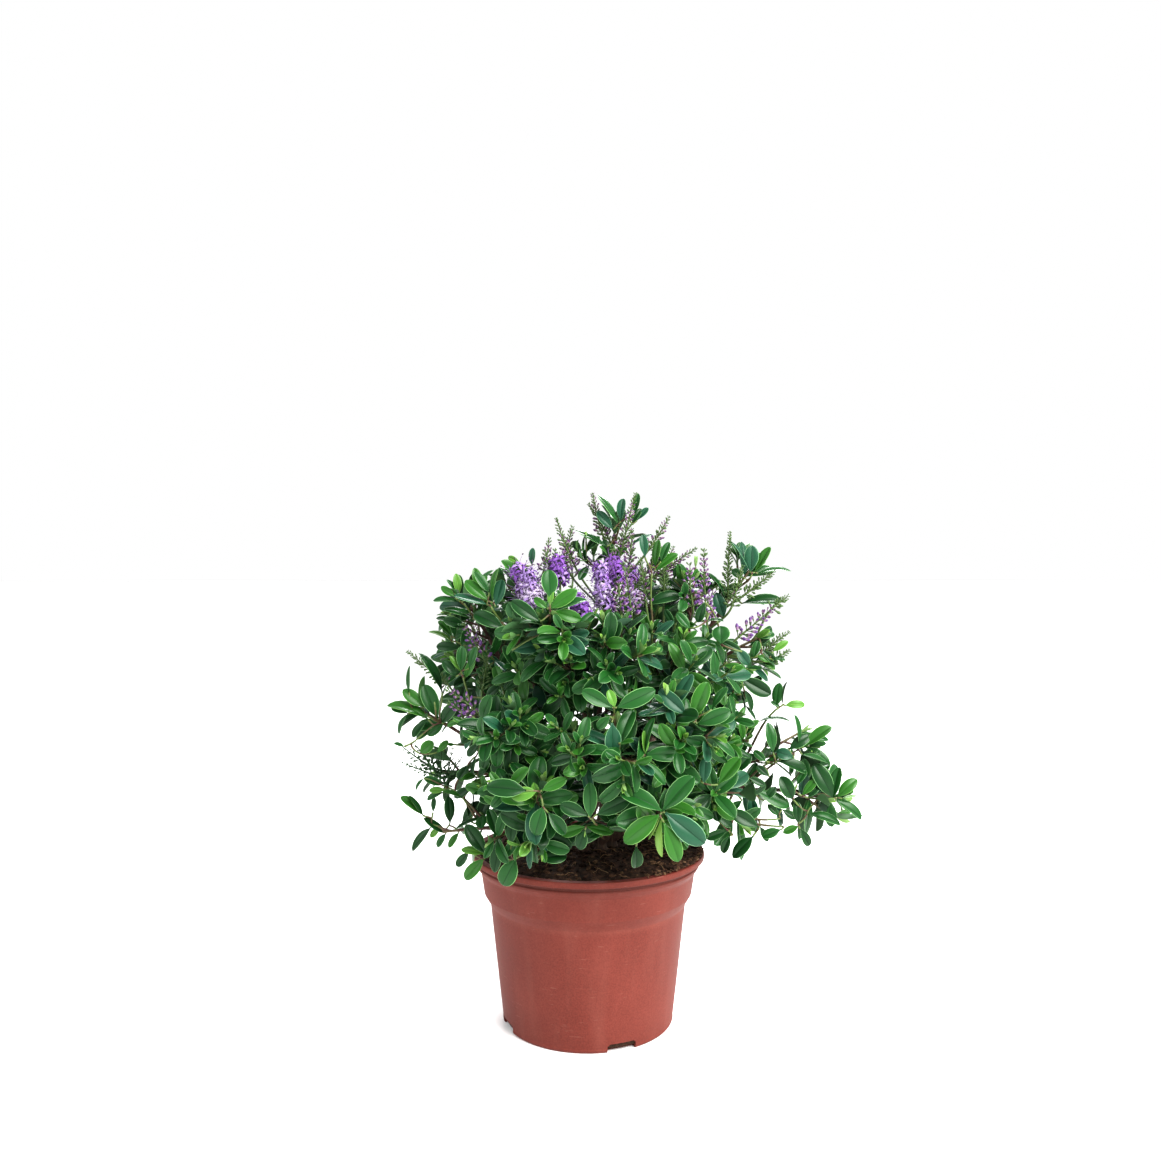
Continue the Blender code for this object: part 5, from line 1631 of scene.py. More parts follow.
class Crown:
    """Everything that has grown so far, in cells, so that what grows next keeps clear of it."""

    CELL = 0.034

    def __init__(self, twigs, spaces, guard):
        self.twigs = twigs
        self.spaces = spaces
        self.guard = guard
        self.cells = {}
        self.leaves = []
        self.shoots = []
        self.shown = []
        self.shown_table = None
        self.rng = random.Random(SEED)

    def show(self, point, reach):
        """Keep whatever grows later from hiding a place from the camera, over a reach in pixels."""
        column, row = column_and_row(point)
        self.shown.append((column, row, reach, point.y))
        self.shown_table = np.array(self.shown)

    def hides(self, points):
        """True where points stand in front of a place that shows."""
        for point in points:
            column, row = column_and_row(point)
            table = self.shown_table
            behind = table[:, 3] > point.y + SHOWN_DEPTH
            if np.any(behind & (np.hypot(table[:, 0] - column, table[:, 1] - row) < table[:, 2])):
                return True
        return False

    def cell(self, point):
        return tuple(int(math.floor(value / self.CELL)) for value in point)

    def near(self, centre, reach):
        middle = self.cell(centre)
        for x in (-1, 0, 1):
            for y in (-1, 0, 1):
                for z in (-1, 0, 1):
                    for other in self.cells.get((middle[0] + x, middle[1] + y, middle[2] + z), ()):
                        if (other[1] - centre).length < other[2] + reach:
                            yield other

    def crossed(self, tree, centre, reach, spare=None):
        others = (other for other in self.near(centre, reach) if spare is None or other[3] is not spare)
        return any(tree.overlap(other[0]) for other in others)

    def remember(self, tree, centre, reach, owner):
        self.cells.setdefault(self.cell(centre), []).append((tree, centre, reach, owner))

    def within(self, mass, points):
        """True where points stay in the mass's space and outline, above the pot and out of the sky."""
        start, end = self.twigs[mass]
        line = end - start
        for point in points:
            for axis in range(3):
                if not cad_low[axis] - BOX_ALLOWANCE < point[axis] < cad_high[axis] + BOX_ALLOWANCE:
                    return False
            for middle, away in self.spaces[mass]:
                if (point - middle).dot(away) > SPACE_OVERLAP:
                    return False
            share = (point - start).dot(line) / line.length_squared
            girth = GIRTH + (TIP_GIRTH - GIRTH) * max(0.0, share)
            beyond = (share - 1) * line.length
            if beyond > TIP_MARGIN or (point - start.lerp(end, share)).length > girth:
                return False
            if self.in_pot(point) or in_sky(point):
                return False
        return True

    def in_pot(self, point):
        if point.z < LOWEST_LEAF:
            return True
        beside = math.hypot(point.x, point.y) < LIP_RADIUS + POT_CLEARANCE
        return beside and point.z < POT_HEIGHT + SOIL_MOUND + POT_CLEARANCE

    def leaf_proxy(self, leaf):
        """A few triangles that stand for a leaf, and its corners."""
        root, heading, face = leaf["root"], leaf["heading"], leaf["face"]
        across = heading.cross(face)
        length = leaf["length"]
        half = leaf["width"] * length / 2
        bend = leaf["bend"]
        lift = leaf["fold"] - leaf["droop"]
        points = []
        for share, width in ((0.14, 0.0), (0.40, 0.88), (0.72, 0.86), (0.99, 0.0)):
            sag = -0.5 * bend * (share - 0.30) * abs(share - 0.30) * length
            middle = root + heading * share * length + face * sag
            points.append(middle)
            if width:
                points.append(middle - across * width * half + face * lift * width * half)
                points.append(middle + across * width * half + face * lift * width * half)
        faces = ((0, 2, 1), (0, 1, 3), (2, 5, 4), (2, 4, 1), (1, 4, 6), (1, 6, 3), (5, 7, 4), (4, 7, 6))
        return BVHTree.FromPolygons(points, faces), points

    def try_leaf(self, leaf, mass, owner, strict=True):
        tree, points = self.leaf_proxy(leaf)
        if strict and not self.within(mass, points):
            return False
        if not strict and any(self.in_pot(point) or in_sky(point) for point in points):
            return False
        centre = leaf["root"] + leaf["heading"] * leaf["length"] / 2
        tip = leaf["root"] + leaf["heading"] * leaf["length"] * 0.9
        if self.hides((centre, tip)):
            return False
        if self.crossed(tree, centre, leaf["length"] / 2, owner):
            return False
        if self.guard.overlap(tree):
            return False
        self.remember(tree, centre, leaf["length"] / 2, None)
        leaf["mass"] = mass
        self.leaves.append(leaf)
        return True

    def facing(self, heading, axis, point):
        """The way a leaf's upper face looks: along its shoot, and turned to the open side of the crown."""
        out = Vector((point.x, point.y, max(0.0, point.z - 0.20))).normalized()
        edge = max(0.0, min(1.0, (abs(point.x) - 0.045) / 0.045))
        side = Vector((0.0, -1.0 if point.y < PARTING_Y else 1.0, 0.35))
        face = axis + (UP * 0.6 + out * 0.8) * LEAF_SKY + side * SIDE_TURN * edge
        face = (face - heading * face.dot(heading)).normalized()
        return Matrix.Rotation(self.rng.gauss(0.0, LEAF_ROLL), 3, heading) @ face

    def size_at(self, z):
        share = (z - LOW_LEAF[0]) / (HIGH_LEAF[0] - LOW_LEAF[0])
        return LOW_LEAF[1] + (HIGH_LEAF[1] - LOW_LEAF[1]) * max(0.0, min(1.0, share))

    def new_leaf(self, root, heading, axis, length, tint, width=LEAF_WIDTH, fold=0.60, fine=True):
        rng = self.rng
        return {
            "root": root,
            "heading": heading,
            "face": self.facing(heading, axis, root),
            "length": length,
            "width": width * rng.uniform(*WIDTH_RANGE),
            "bend": rng.uniform(*BEND_RANGE),
            "twist": rng.uniform(*TWIST_RANGE),
            "fold": fold * rng.uniform(*FOLD_RANGE),
            "droop": rng.uniform(*DROOP_RANGE),
            "widest": rng.uniform(*WIDEST_RANGE),
            "tint": tint,
            "fine": fine,
        }

    def add_pair(self, shoot, distance, turn, opening, length, tints, strict=True, fold=0.55, fine=True):
        """Two opposite leaves, each moved aside a little where it doesn't fit at first."""
        rng = self.rng
        point, axis, radius = shoot.at(distance)
        for side in (0.0, math.pi):
            tint = rng.choice(tints)
            for attempt in range(LEAF_TRIES):
                spread = 0.10 + 0.07 * attempt
                angle = opening + rng.uniform(-spread, spread)
                heading = turned_from(axis, angle, turn + side + rng.uniform(-spread, spread) * 1.4)
                outward = (heading - axis * heading.dot(axis)).normalized()
                root = point + outward * radius * 0.35
                size = length * rng.uniform(0.90, 1.08) * (1 - 0.045 * attempt)
                leaf = self.new_leaf(root, heading, axis, size, tint, LEAF_WIDTH, fold, fine)
                if self.try_leaf(leaf, shoot.mass, shoot, strict):
                    break

    def young_pair(self, shoot, turn, length):
        """The folded pair that closes the end of a shoot."""
        point, axis, radius = shoot.at(shoot.length)
        for side in (0.0, math.pi):
            heading = turned_from(axis, self.rng.uniform(0.10, 0.24), turn + side)
            outward = (heading - axis * heading.dot(axis)).normalized()
            if self.hides((point + heading * length * 0.5, point + heading * length)):
                continue
            root = point + outward * radius * 0.4
            leaf = self.new_leaf(root, heading, axis, length, "young", YOUNG_WIDTH, YOUNG_FOLD)
            leaf["face"] = -outward + axis * 0.1
            leaf["face"] = (leaf["face"] - heading * leaf["face"].dot(heading)).normalized()
            leaf["bend"] = self.rng.uniform(-0.25, 0.1)
            leaf["mass"] = shoot.mass
            self.leaves.append(leaf)

    def rosette(self, shoot, turn, length, strict=True, spread=None):
        """The crowded pairs at the end of a shoot, from the youngest out to the largest."""
        rng = self.rng
        if spread is None:
            high = (shoot.path[-1].z - OPEN_UNTIL_Z) / (UPRIGHT_FROM_Z - OPEN_UNTIL_Z)
            spread = OPEN_SPREAD + (UPRIGHT_SPREAD - OPEN_SPREAD) * max(0.0, min(1.0, high))
            spread *= rng.uniform(0.85, 1.1)
        self.young_pair(shoot, turn + math.pi / 2, length * rng.uniform(0.30, 0.42))
        inner = ("grass", "fresh", "grass", "mid") if rng.random() < 0.6 else ("mid", "grass")
        pairs = (
            (0.0084, spread, 1.0, ("mid", "deep", "blue", "mid"), 0.60),
            (0.0038, spread * 0.84, 0.88, ("mid", "deep", "mid", "grass"), 0.66),
            (0.0008, spread * 0.45, 0.50, inner, 0.80),
        )
        for index, (back, opening, share, tints, fold) in enumerate(pairs):
            place = shoot.length - back
            pair_turn = turn + index * math.pi / 2
            self.add_pair(shoot, place, pair_turn, opening, length * share, tints, strict, fold)

    def clothe(self, shoot, spacing, length, turn, first=0.010, bare=0.0, strict=True):
        """Pairs of leaves from under the end rosette down to the foot of a shoot."""
        rng = self.rng
        distance = shoot.length - 0.0075 - spacing * 0.75
        index = 3
        while distance > first:
            if rng.random() >= bare:
                share = distance / shoot.length
                opening = 1.15 + 0.15 * (1 - share)
                tints = LOW_TINTS if share < 0.6 else HIGH_TINTS
                fine = shoot.length - distance < FINE_REACH and shoot.path[-1].y < FINE_UNTIL_Y
                pair_turn = turn + index * math.pi / 2
                self.add_pair(shoot, distance, pair_turn, opening, length, tints, strict, fine=fine)
            index += 1
            distance -= spacing * rng.uniform(0.85, 1.15)

    def shoot_proxy(self, shoot):
        points = tube_points(shoot.path[::2], shoot.radii[::2], 3)
        faces = tube_faces(len(shoot.path[::2]), 3)
        return BVHTree.FromPolygons(points, faces)

    def keep_shoot(self, shoot):
        shoot.tree = self.shoot_proxy(shoot)
        middle = shoot.path[len(shoot.path) // 2]
        reach = max((point - middle).length for point in shoot.path)
        if reach > self.CELL / 2:
            for index in range(0, len(shoot.path), 4):
                self.remember(shoot.tree, shoot.path[index], self.CELL / 2, shoot)
        else:
            self.remember(shoot.tree, middle, reach, shoot)
        self.shoots.append(shoot)

    def side_shoot(self, parent, distance, heading, longest, order):
        """A shoot from a node of its parent, bent up to the light and cut short where its space ends."""
        start, _, radius = parent.at(distance)
        mass = parent.mass
        out = Vector((start.x, start.y, 0.0))
        out = out.normalized() if out.length > 0.001 else Vector((0.0, 0.0, 0.0))
        arriving = (heading + UP * SHOOT_LIFT + out * SHOOT_OUT).normalized()
        middle = (heading + arriving).normalized()
        length = min(longest, room(self.spaces[mass], start, middle, longest + 0.01) - 0.008)
        for _ in range(SHOOT_CUTS):
            if length < SHORTEST_SHOOT:
                return None
            end = start + middle * length
            if self.within(mass, [end, end + arriving * 0.010]):
                count = max(5, int(length / SHOOT_STEP))
                path = bent_path(start, heading, end, arriving, count)
                shoot = Shoot(path, min(SHOOT_RADIUS, radius * 0.9), SHOOT_TIP_RADIUS, mass, order)
                tree = self.shoot_proxy(shoot)
                centre = path[len(path) // 2]
                others = [item for item in self.near(centre, length / 2) if item[3] is None]
                if not any(tree.overlap(item[0]) for item in others) and not self.guard.overlap(tree):
                    self.keep_shoot(shoot)
                    return shoot
            length *= SHOOT_CUT
        return None

    def branch(self, parent, order, longest, spacing):
        """Side shoots in the axils of a parent's nodes, each with its own leaves."""
        rng = self.rng
        turn = rng.uniform(0.0, math.tau)
        distance = parent.length - spacing * (1.3 if order == 1 else 0.9)
        index = 0
        while distance > spacing * 0.6:
            _, axis, _ = parent.at(distance)
            share = distance / parent.length
            for side in (0.0, math.pi):
                angle = SHOOT_ANGLE * rng.uniform(0.8, 1.2)
                around = turn + index * math.pi / 2 + side + rng.uniform(-0.35, 0.35)
                heading = turned_from(axis, angle, around)
                heading = (heading + UP * 0.12).normalized()
                reach = longest * (1 - 0.50 * share) * rng.uniform(0.75, 1.1)
                if rng.random() > FULLNESS.get(parent.mass, 1.0):
                    continue
                shoot = self.side_shoot(parent, distance, heading, reach, order)
                if shoot:
                    self.dress(shoot)
            index += 1
            distance -= spacing * rng.uniform(0.9, 1.15)

    def dress(self, shoot):
        """The leaves of a side shoot, and its own sprigs."""
        rng = self.rng
        end = shoot.path[-1]
        share = 0.98 if shoot.order == 1 else 0.84
        length = LEAF_LENGTH * self.size_at(end.z) * share * rng.uniform(0.88, 1.08)
        turn = rng.uniform(0.0, math.pi)
        self.rosette(shoot, turn, length)
        self.clothe(shoot, SHOOT_NODE_SPACING, length * 0.98, turn, first=0.006)
        if shoot.order == 1 and shoot.length > LONG_SHOOT:
            self.branch(shoot, 2, SPRIG_LENGTH, SPRIG_SPACING)

    def nearest_parent(self, point, heading):
        """The place on a main twig from which a shoot reaches a point most easily."""
        best = None
        for shoot in self.shoots:
            if shoot.order != 0:
                continue
            for step in range(1, 17):
                distance = shoot.length * step / 18
                place, axis, _ = shoot.at(distance)
                reach = point - place
                if reach.length < 0.004:
                    continue
                turn = reach.angle(axis)
                arrive = reach.angle(heading)
                cost = reach.length * (1 + (turn / 0.9) ** 2 + 0.5 * (arrive / 1.0) ** 2)
                if best is None or cost < best[0]:
                    best = (cost, shoot, distance)
        return best[1], best[2]

    def key_stem(self, place, heading):
        """The stem of a shoot that shows singly, grown from the nearest main twig to its place."""
        end = spot(*place)
        heading = Vector(heading).normalized()
        parent, distance = self.nearest_parent(end, heading)
        start, axis, radius = parent.at(distance)
        reach = (end - start).normalized()
        leaving = (reach + axis * 0.9).normalized()
        count = max(6, int((end - start).length / SHOOT_STEP))
        path = bent_path(start, leaving, end, (heading + reach * 0.5).normalized(), count)
        shoot = Shoot(path, min(SHOOT_RADIUS * 1.15, radius), SHOOT_TIP_RADIUS, parent.mass, 1)
        self.keep_shoot(shoot)
        return shoot

    def key_shoot(self, place, heading, turn, length, spread):
        """A shoot that shows singly, with its end rosette."""
        shoot = self.key_stem(place, heading)
        self.rosette(shoot, math.radians(turn), length, strict=False, spread=spread)
        return shoot, length, math.radians(turn)

    def nearest_shoot(self, point):
        """The nearest place on any shoot so far."""
        best = None
        for shoot in self.shoots:
            for index, place in enumerate(shoot.path):
                gap = (place - point).length
                if index and (best is None or gap < best[0]):
                    best = (gap, shoot, index)
        return best

    def key_leaf(self, depth, row):
        """A leaf that shows singly, on the nearest shoot or on a twig of its own from there."""
        rng = self.rng
        base_column, base_row, tip_column, tip_row, seen, tint = row
        base, tip = spot(base_column, base_row, depth), spot(tip_column, tip_row, depth)
        gap, carrier, index = self.nearest_shoot(base)
        heading = (tip - base).normalized()
        if gap > PETIOLE:
            start = carrier.path[index]
            along = (carrier.path[index] - carrier.path[index - 1]).normalized()
            reach = (base - start).normalized()
            leaving = (reach + along * 0.7).normalized()
            arriving = (reach + heading * 0.5).normalized()
            path = bent_path(start, leaving, base, arriving, max(4, int(gap / OWN_TWIG_STEP)))
            radius = min(SHOOT_RADIUS, carrier.radii[index])
            carrier = Shoot(path, radius, SHOOT_TIP_RADIUS, carrier.mass, 2)
            self.keep_shoot(carrier)
        else:
            base = base.lerp(carrier.path[index], SINK_SHARE)
            heading = (tip - base).normalized()
        leaf = self.new_leaf(base, heading, UP, (tip - base).length, tint)
        leaf["width"] = max(seen, WIDTH_SEEN_FULL)
        view = (Vector(CAMERA_PLACE) - base).normalized()
        face = (view - heading * view.dot(heading)).normalized()
        roll = math.acos(min(1.0, seen / leaf["width"])) + rng.uniform(0.0, EXTRA_ROLL)
        turned = [Matrix.Rotation(sign * roll, 3, heading) @ face for sign in (-1, 1)]
        leaf["face"] = max(turned, key=lambda direction: direction.z)
        tree, _ = self.leaf_proxy(leaf)
        self.remember(tree, base.lerp(tip, 0.5), leaf["length"] / 2, None)
        leaf["mass"] = carrier.mass
        self.leaves.append(leaf)
        reach = math.hypot(tip_column - base_column, tip_row - base_row) / 2
        self.show(base.lerp(tip, 0.5), reach * SHOWN_SHARE)


def main_shoots(curves):
    """The twig of every mass, following on from its limb's own curve."""
    made = []
    for name, _, _ in MASSES:
        curve, root, radius = curves[name]
        samples = [curve(root + (1.0 - root) * step / 60) for step in range(61)]
        tip = samples[-1]
        kept = [point for point in samples if (tip - point).length > MAIN_END_SHARE * LEAF_LENGTH]
        path = kept[::2]
        if path[-1] is not kept[-1]:
            path.append(kept[-1])
        made.append(Shoot(path, radius, TWIG_TIP_RADIUS, name, 0))
    return made


def limb_guard(limbs):
    """Every limb a little fatter, for testing leaves against."""
    points, faces = [], []
    for limb in limbs:
        radii = [radius + LIMB_CLEARANCE for radius in limb.radii]
        first = len(points)
        points += tube_points(limb.path, radii, 8)
        faces += [tuple(first + index for index in face) for face in tube_faces(len(limb.path), 8)]
    return BVHTree.FromPolygons(points, faces)


# Flower spikes

# Each kind of spike: how far up it is open, how much of it is purple, the length of a bud, the spacing
# of its rings and how many stand in each
SPIKE_KINDS = {
    "bud": {"open": 0.0, "purple": 0.60, "bud": 0.0070, "spacing": 0.0021, "ring": 4},
    "purple": {"open": 0.0, "purple": 1.0, "bud": 0.0096, "spacing": 0.0034, "ring": 4},
    "green": {"open": 0.0, "purple": 0.05, "bud": 0.0066, "spacing": 0.0020, "ring": 4},
    "open": {"open": 0.85, "purple": 1.0, "bud": 0.0080, "spacing": 0.0022, "ring": 5},
    "deep": {"open": 0.70, "purple": 1.0, "bud": 0.0080, "spacing": 0.0022, "ring": 5},
    "pale": {"open": 0.90, "purple": 1.0, "bud": 0.0080, "spacing": 0.0022, "ring": 5},
    "dry": {"open": 0.0, "purple": 0.0, "bud": 0.0064, "spacing": 0.0032, "ring": 3},
}
# The petal colours of open florets from the lowest to the highest third
PETAL_SHARES = {
    "open": (("white", "lilac", "white"), ("lilac", "white", "violet"), ("violet", "lilac", "violet")),
    "pale": (("white", "white", "lilac"), ("lilac", "white", "lilac"), ("lilac", "violet", "lilac")),
    "deep": (("violet", "lilac", "violet"), ("violet",), ("violet",)),
}
BLOSSOM_COLOURS = {
    "calyx": ((0.075, 0.140, 0.036), 0.55),
    "axis": ((0.090, 0.150, 0.038), 0.55),
    "bud_green": ((0.070, 0.130, 0.040), 0.55),
    "bud_pink": ((0.300, 0.185, 0.250), 0.60),
    "bud_mauve": ((0.280, 0.165, 0.280), 0.60),
    "bud_purple": ((0.100, 0.034, 0.130), 0.55),
    "bud_violet": ((0.120, 0.048, 0.195), 0.55),
    "petal_violet": ((0.200, 0.075, 0.350), 0.65),
    "petal_lilac": ((0.330, 0.220, 0.480), 0.65),
    "petal_white": ((0.550, 0.470, 0.620), 0.65),
    "stamen": ((0.300, 0.190, 0.400), 0.60),
    "anther": ((0.050, 0.020, 0.055), 0.60),
    "dry": ((0.030, 0.085, 0.026), 0.80),
}
BLOSSOM_NAMES = list(BLOSSOM_COLOURS)
FLORET_SIZE = 0.0092
STALK_STEPS = 9
# The radius that a spike takes up at its foot, and how far round it nothing may hide it, in pixels
BLOOM_GIRTH = 0.0082
BUD_GIRTH = 0.0052
BLOOM_SHOWN = 13.0
BUD_SHOWN = 7.0


def kind_of(name):
    return BLOSSOM_NAMES.index(name)


def placed(points, origin, heading, size):
    """Template points set down at a place, their Z along heading."""
    turn = heading.to_track_quat("Z", "Y").to_matrix()
    return [origin + turn @ (point * size) for point in points]


def bud_template(sides=4):
    """A stalk, a calyx and a closed bud, one unit long."""
    profile = (
        (0.00, 0.034),
        (0.36, 0.036),
        (0.42, 0.085),
        (0.52, 0.095),
        (0.58, 0.092),
        (0.74, 0.145),
        (0.88, 0.110),
        (0.96, 0.050),
    )
    points = []
    for z, radius in profile:
        for side in range(sides):
            angle = math.tau * side / sides
            points.append(around_axis(radius, angle, z))
    points.append(Vector((0.0, 0.0, 1.0)))
    faces = [tuple(reversed(range(sides)))]
    parts = ["calyx"]
    for ring in range(len(profile) - 1):
        for side in range(sides):
            following = (side + 1) % sides
            first = ring * sides
            faces.append((first + side, first + following, first + sides + following, first + sides + side))
            parts.append("calyx" if ring < 3 else ("throat" if ring < 5 else "petal"))
    last = (len(profile) - 1) * sides
    for side in range(sides):
        faces.append((last + side, last + (side + 1) % sides, len(points) - 1))
        parts.append("petal")
    return points, faces, parts


def lobe_points(turn, length, width, rise):
    """One petal as a thin closed wedge, wide past its middle and cupped."""
    rows = ((0.08, 0.07, 0.52), (0.36, 0.22, 0.62), (0.68, 0.24, 0.58), (1.0, 0.02, 0.44))
    points = []
    for along, half, height in rows:
        for side in (-1, 0, 1):
            cup = 0.05 * abs(side)
            points.append(Vector((side * half * width, along * length, (height + cup) * rise)))
    under = [point - Vector((0.0, 0.0, 0.03)) for point in points]
    faces = []
    count = len(points)
    for row in range(len(rows) - 1):
        for column in range(2):
            first = row * 3 + column
            faces.append((first, first + 1, first + 4, first + 3))
            faces.append((count + first, count + first + 3, count + first + 4, count + first + 1))
        left, right = row * 3, row * 3 + 2
        faces.append((left, left + 3, count + left + 3, count + left))
        faces.append((right, count + right, count + right + 3, right + 3))
    for column in range(2):
        faces.append((column, count + column, count + column + 1, column + 1))
        last = 9 + column
        faces.append((last, last + 1, count + last + 1, count + last))
    turned = Matrix.Rotation(turn, 3, "Z")
    return [turned @ point for point in points + under], faces


def floret_template():
    """An open floret: a short tube, four lobes, and two long stamens with their anthers."""
    points, faces, parts = [], [], []

    def join(more, more_faces, part):
        first = len(points)
        points.extend(more)
        faces.extend([tuple(first + index for index in face) for face in more_faces])
        parts.extend([part] * len(more_faces))

    tube = [Vector((0.0, 0.0, z)) for z in (0.0, 0.22, 0.36, 0.50)]
    join(tube_points(tube[:3], [0.040, 0.055, 0.135], 5), tube_faces(3, 5), "calyx")
    throat = tube[2:] + [Vector((0.0, 0.0, 0.60))]
    join(tube_points(throat, [0.095, 0.105, 0.150], 6), tube_faces(3, 6), "petal")
    for index in range(4):
        join(*lobe_points(index * math.pi / 2 + 0.4, 0.60, 0.42, 1.0), "petal")
    for turn in (0.7, 0.7 + math.pi):
        lean = Vector((math.cos(turn), math.sin(turn), 0.0))
        path = [Vector((0.0, 0.0, 0.55)), lean * 0.16 + UP * 1.00, lean * 0.36 + UP * 1.40]
        join(tube_points(path, [0.018, 0.015, 0.013], 3), tube_faces(3, 3), "stamen")
        tip = path[-1]
        ends = [tip - lean * 0.05, tip + lean * 0.03 + UP * 0.03, tip + lean * 0.08 + UP * 0.05]
        join(tube_points(ends, [0.020, 0.050, 0.018], 4), tube_faces(3, 4), "anther")
    return points, faces, parts


def make_spikes(crown, rng):
    """Every flower spike on its stalk, each with its rings of buds and florets."""
    buds, blooms = Soup(), Soup()
    bud, floret = bud_template(), floret_template()
    rows = [
        (kind, spot(base_column, base_row, depth), spot(tip_column, tip_row, depth))
        for kind, base_column, base_row, tip_column, tip_row, depth in SPIKES
    ]
    rows += [(kind, Vector(base), Vector(tip)) for kind, base, tip in BACK_SPIKES]
    for kind, base, tip in rows:
        heading = (tip - base).normalized()
        spike_length = (tip - base).length
        foot_target = base - heading * 0.006
        parent, distance = crown.nearest_parent(foot_target, heading)
        start, axis, _ = parent.at(distance)
        reach = (base - start).normalized()
        leaving = (reach + axis * 0.8).normalized()
        arriving = (heading + reach * 0.4).normalized()
        stalk = bent_path(start, leaving, base, arriving, STALK_STEPS)
        sway = heading.orthogonal().normalized() * spike_length * rng.uniform(-0.05, 0.05)
        stalk += [base.lerp(tip, step / 9) + sway * math.sin(math.pi * step / 9) for step in range(1, 10)]
        radii = [0.0008] * 10 + taper(0.00075, 0.00028, 9)
        stem_part = "dry" if kind == "dry" else "axis"
        buds.add(tube_points(stalk, radii, 6), tube_faces(len(stalk), 6), kind_of(stem_part))
        traits = SPIKE_KINDS[kind]
        whorls = max(7, int(spike_length / traits["spacing"]))
        offset = rng.uniform(0.0, math.tau)
        for whorl in range(whorls):
            share = whorl / (whorls - 1)
            centre = base.lerp(tip, share) + sway * math.sin(math.pi * share)
            is_open = share < traits["open"]
            for index in range(traits["ring"]):
                turn = offset + whorl * 0.65 + index * math.tau / traits["ring"] + rng.uniform(-0.25, 0.25)
                opening = (1.35 if is_open else 1.15) - (0.45 if is_open else 0.60) * share
                out = turned_from(heading, opening + rng.uniform(-0.25, 0.25), turn)
                names = {"calyx": "calyx", "stamen": "stamen", "anther": "anther", "throat": "bud_pink"}
                if is_open:
                    points, faces, parts = floret
                    size = FLORET_SIZE * rng.uniform(0.60, 1.32) * (1 - 0.25 * share)
                    third = min(2, int(3 * share / traits["open"]))
                    names["petal"] = "petal_" + rng.choice(PETAL_SHARES[kind][third])
                    soup = blooms
                else:
                    points, faces, parts = bud
                    size = traits["bud"] * (1.0 - 0.60 * share**1.2) * rng.uniform(0.85, 1.12)
                    coloured = traits["purple"] > rng.random() * 0.8 + share * 0.5
                    if traits["purple"] == 1.0:
                        coloured = share < 0.86
                        names["petal"] = "bud_violet" if share < 0.6 else "bud_purple"
                        names["throat"] = "bud_mauve"
                    elif coloured:
                        names["petal"] = "bud_purple"
                    if not coloured:
                        names["petal"] = "bud_green"
                        names["throat"] = "calyx"
                    if kind == "dry":
                        names = {"petal": "dry", "calyx": "dry", "throat": "dry"}
                    soup = buds
                soup.add(placed(points, centre, out, size), faces, [kind_of(names[part]) for part in parts])
        blooming = kind in PETAL_SHARES
        width = BLOOM_GIRTH if blooming else BUD_GIRTH
        path = [base.lerp(tip, step / 5) for step in range(6)]
        tree = BVHTree.FromPolygons(tube_points(path, taper(width, width * 0.35, 6), 6), tube_faces(6, 6))
        crown.remember(tree, base.lerp(tip, 0.3), spike_length * 0.45, None)
        crown.remember(tree, base.lerp(tip, 0.8), spike_length * 0.35, None)
        for share in (0.35, 0.65, 0.95):
            crown.show(base.lerp(tip, share), BLOOM_SHOWN if blooming else BUD_SHOWN)
        stalk_tree = BVHTree.FromPolygons(tube_points(stalk[:10], radii[:10], 3), tube_faces(10, 3))
        crown.remember(stalk_tree, stalk[5], (base - start).length / 2, None)
    return buds, blooms


def twig_soup(crown, rng):
    """Every twig as a tapering tube that swells at its nodes: brown, then olive, then green at its end."""
    soup = Soup()
    for shoot in crown.shoots:
        sides = 8 if shoot.order == 0 else 6
        points = shoot.path
        radii = []
        shift = rng.uniform(0.0, NODE_SPACING)
        spacing = NODE_SPACING if shoot.order == 0 else SHOOT_NODE_SPACING
        for along, radius in zip(shoot.along, shoot.radii):
            away = abs((along + shift) % spacing - spacing / 2)
            radii.append(radius * (1 + NODE_SWELL * math.exp(-((away / NODE_SWELL_REACH) ** 2))))
        faces = tube_faces(len(points), sides)
        kinds = []
        brown_until = BROWN_UNTIL[shoot.order]
        olive_until = brown_until + OLIVE_SHARE
        for ring in range(len(points) - 1):
            share = ring / (len(points) - 1)
            kind = 0 if share < brown_until else (1 if share < olive_until else 2)
            kinds += [kind] * sides
        kinds += [0, 2]
        soup.add(tube_points(points, radii, sides), faces, kinds)
    return soup


# Stage


def make_stage():
    bm = bmesh.new()
    bmesh.ops.create_circle(bm, cap_ends=True, segments=96, radius=FLOOR_RADIUS)
    mesh = bpy.data.meshes.new("studio_floor")
    bm.to_mesh(mesh)
    bm.free()
    mesh.materials.append(floor_material())
    floor = bpy.data.objects.new("studio_floor", mesh)
    bpy.context.scene.collection.objects.link(floor)
    floor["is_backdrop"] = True


def area_light(name, place, target, size, power, colour):
    data = bpy.data.lights.new(name, "AREA")
    data.shape = "DISK"
    data.size = size
    data.energy = power
    data.color = colour
    obj = bpy.data.objects.new(name, data)
    obj.location = place
    obj.rotation_euler = (Vector(target) - Vector(place)).to_track_quat("-Z", "Y").to_euler()
    obj.visible_camera = False
    bpy.context.scene.collection.objects.link(obj)


def make_light():
    world = bpy.data.worlds.new("studio")
    world.use_nodes = True
    background = world.node_tree.nodes["Background"]
    background.inputs["Color"].default_value = (1.0, 1.0, 1.0, 1.0)
    background.inputs["Strength"].default_value = 1.0
    bpy.context.scene.world = world
    bpy.context.scene.view_settings.view_transform = "Standard"
    bpy.context.scene.view_settings.gamma = CONTRAST_GAMMA
    for lamp in LAMPS:
        area_light(*lamp)


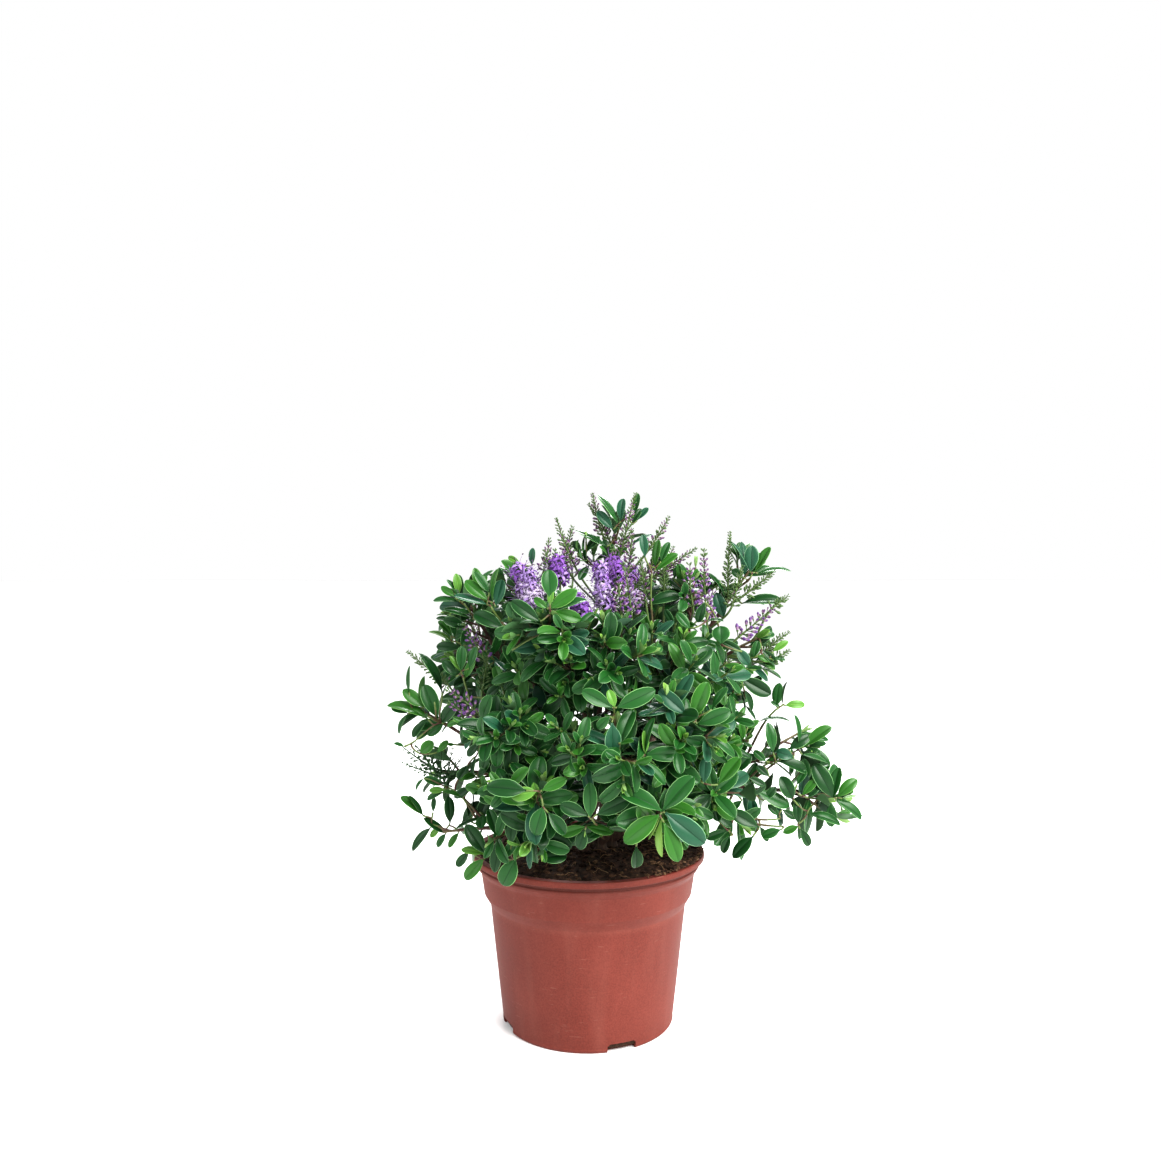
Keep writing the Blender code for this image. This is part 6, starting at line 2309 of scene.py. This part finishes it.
def make_camera():
    data = bpy.data.cameras.new("photo_camera")
    data.sensor_width = SENSOR
    data.lens = SENSOR * FOCAL_PIXELS / FRAME_SIZE
    data.shift_x = -(AXIS_COLUMN - FRAME_SIZE / 2) / FRAME_SIZE
    data.clip_start = 0.01
    camera = bpy.data.objects.new("photo_camera", data)
    camera.location = CAMERA_PLACE
    camera.rotation_euler = (math.pi / 2 + CAMERA_PITCH, 0.0, 0.0)
    bpy.context.scene.collection.objects.link(camera)
    bpy.context.scene.camera = camera


def main():
    make_camera()
    make_light()
    make_stage()
    make_pot()
    make_soil(random.Random(SEED + 1))

    stems, boughs, twigs, curves = grow_limbs()
    make_bark(stems, boughs, random.Random(SEED + 2))

    crown = Crown(twigs, part_spaces(twigs), limb_guard(stems + boughs))
    mains = main_shoots(curves)
    for shoot in mains:
        crown.keep_shoot(shoot)
    buds, blooms = make_spikes(crown, random.Random(SEED + 3))
    for place, heading in KEY_STEMS:
        crown.key_stem(place, heading)
    for depth, rows in KEY_LEAVES.items():
        for row in rows:
            crown.key_leaf(depth, row)
    keyed = [crown.key_shoot(*row) for row in KEY_SHOOTS]
    for shoot, longest, turn in keyed:
        length = longest * KEY_LEAF_SHARE
        crown.clothe(shoot, SHOOT_NODE_SPACING, length, turn, first=KEY_BARE_FOOT, strict=False)
    for shoot in mains:
        length = LEAF_LENGTH * crown.size_at(shoot.path[-1].z)
        turn = crown.rng.uniform(0.0, math.pi)
        crown.rosette(shoot, turn, length)
        crown.clothe(shoot, NODE_SPACING, length, turn, first=MAIN_BARE_FOOT, bare=MAIN_BARE_SHARE)
    for shoot, _, _ in keyed:
        if shoot.length > LONG_KEY_SHOOT:
            crown.branch(shoot, 2, SPRIG_LENGTH, SPRIG_SPACING)
    for shoot in mains:
        crown.branch(shoot, 1, SHOOT_LENGTH, NODE_SPACING)

    finishes = leaf_materials()
    for region, members in REGIONS.items():
        leaves = [leaf for leaf in crown.leaves if leaf["mass"] in members]
        piece = leaf_piece("leaves_" + region, leaves, finishes)
        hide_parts(*["foliage_" + name for name in members])
    twig_finishes = [
        plain("twig_brown", (0.080, 0.036, 0.024), 0.62),
        plain("twig_olive", (0.100, 0.080, 0.034), 0.55),
        plain("twig_green", (0.110, 0.160, 0.040), 0.50),
    ]
    twigs_soup = twig_soup(crown, random.Random(SEED + 4))
    finished("twigs", twigs_soup.mesh("twigs"), twig_finishes)
    blossom = [plain("blossom_" + name, colour, rough) for name, (colour, rough) in BLOSSOM_COLOURS.items()]
    finished("flower_buds", buds.mesh("flower_buds"), blossom)
    finished("open_flowers", blooms.mesh("open_flowers"), blossom)


main()
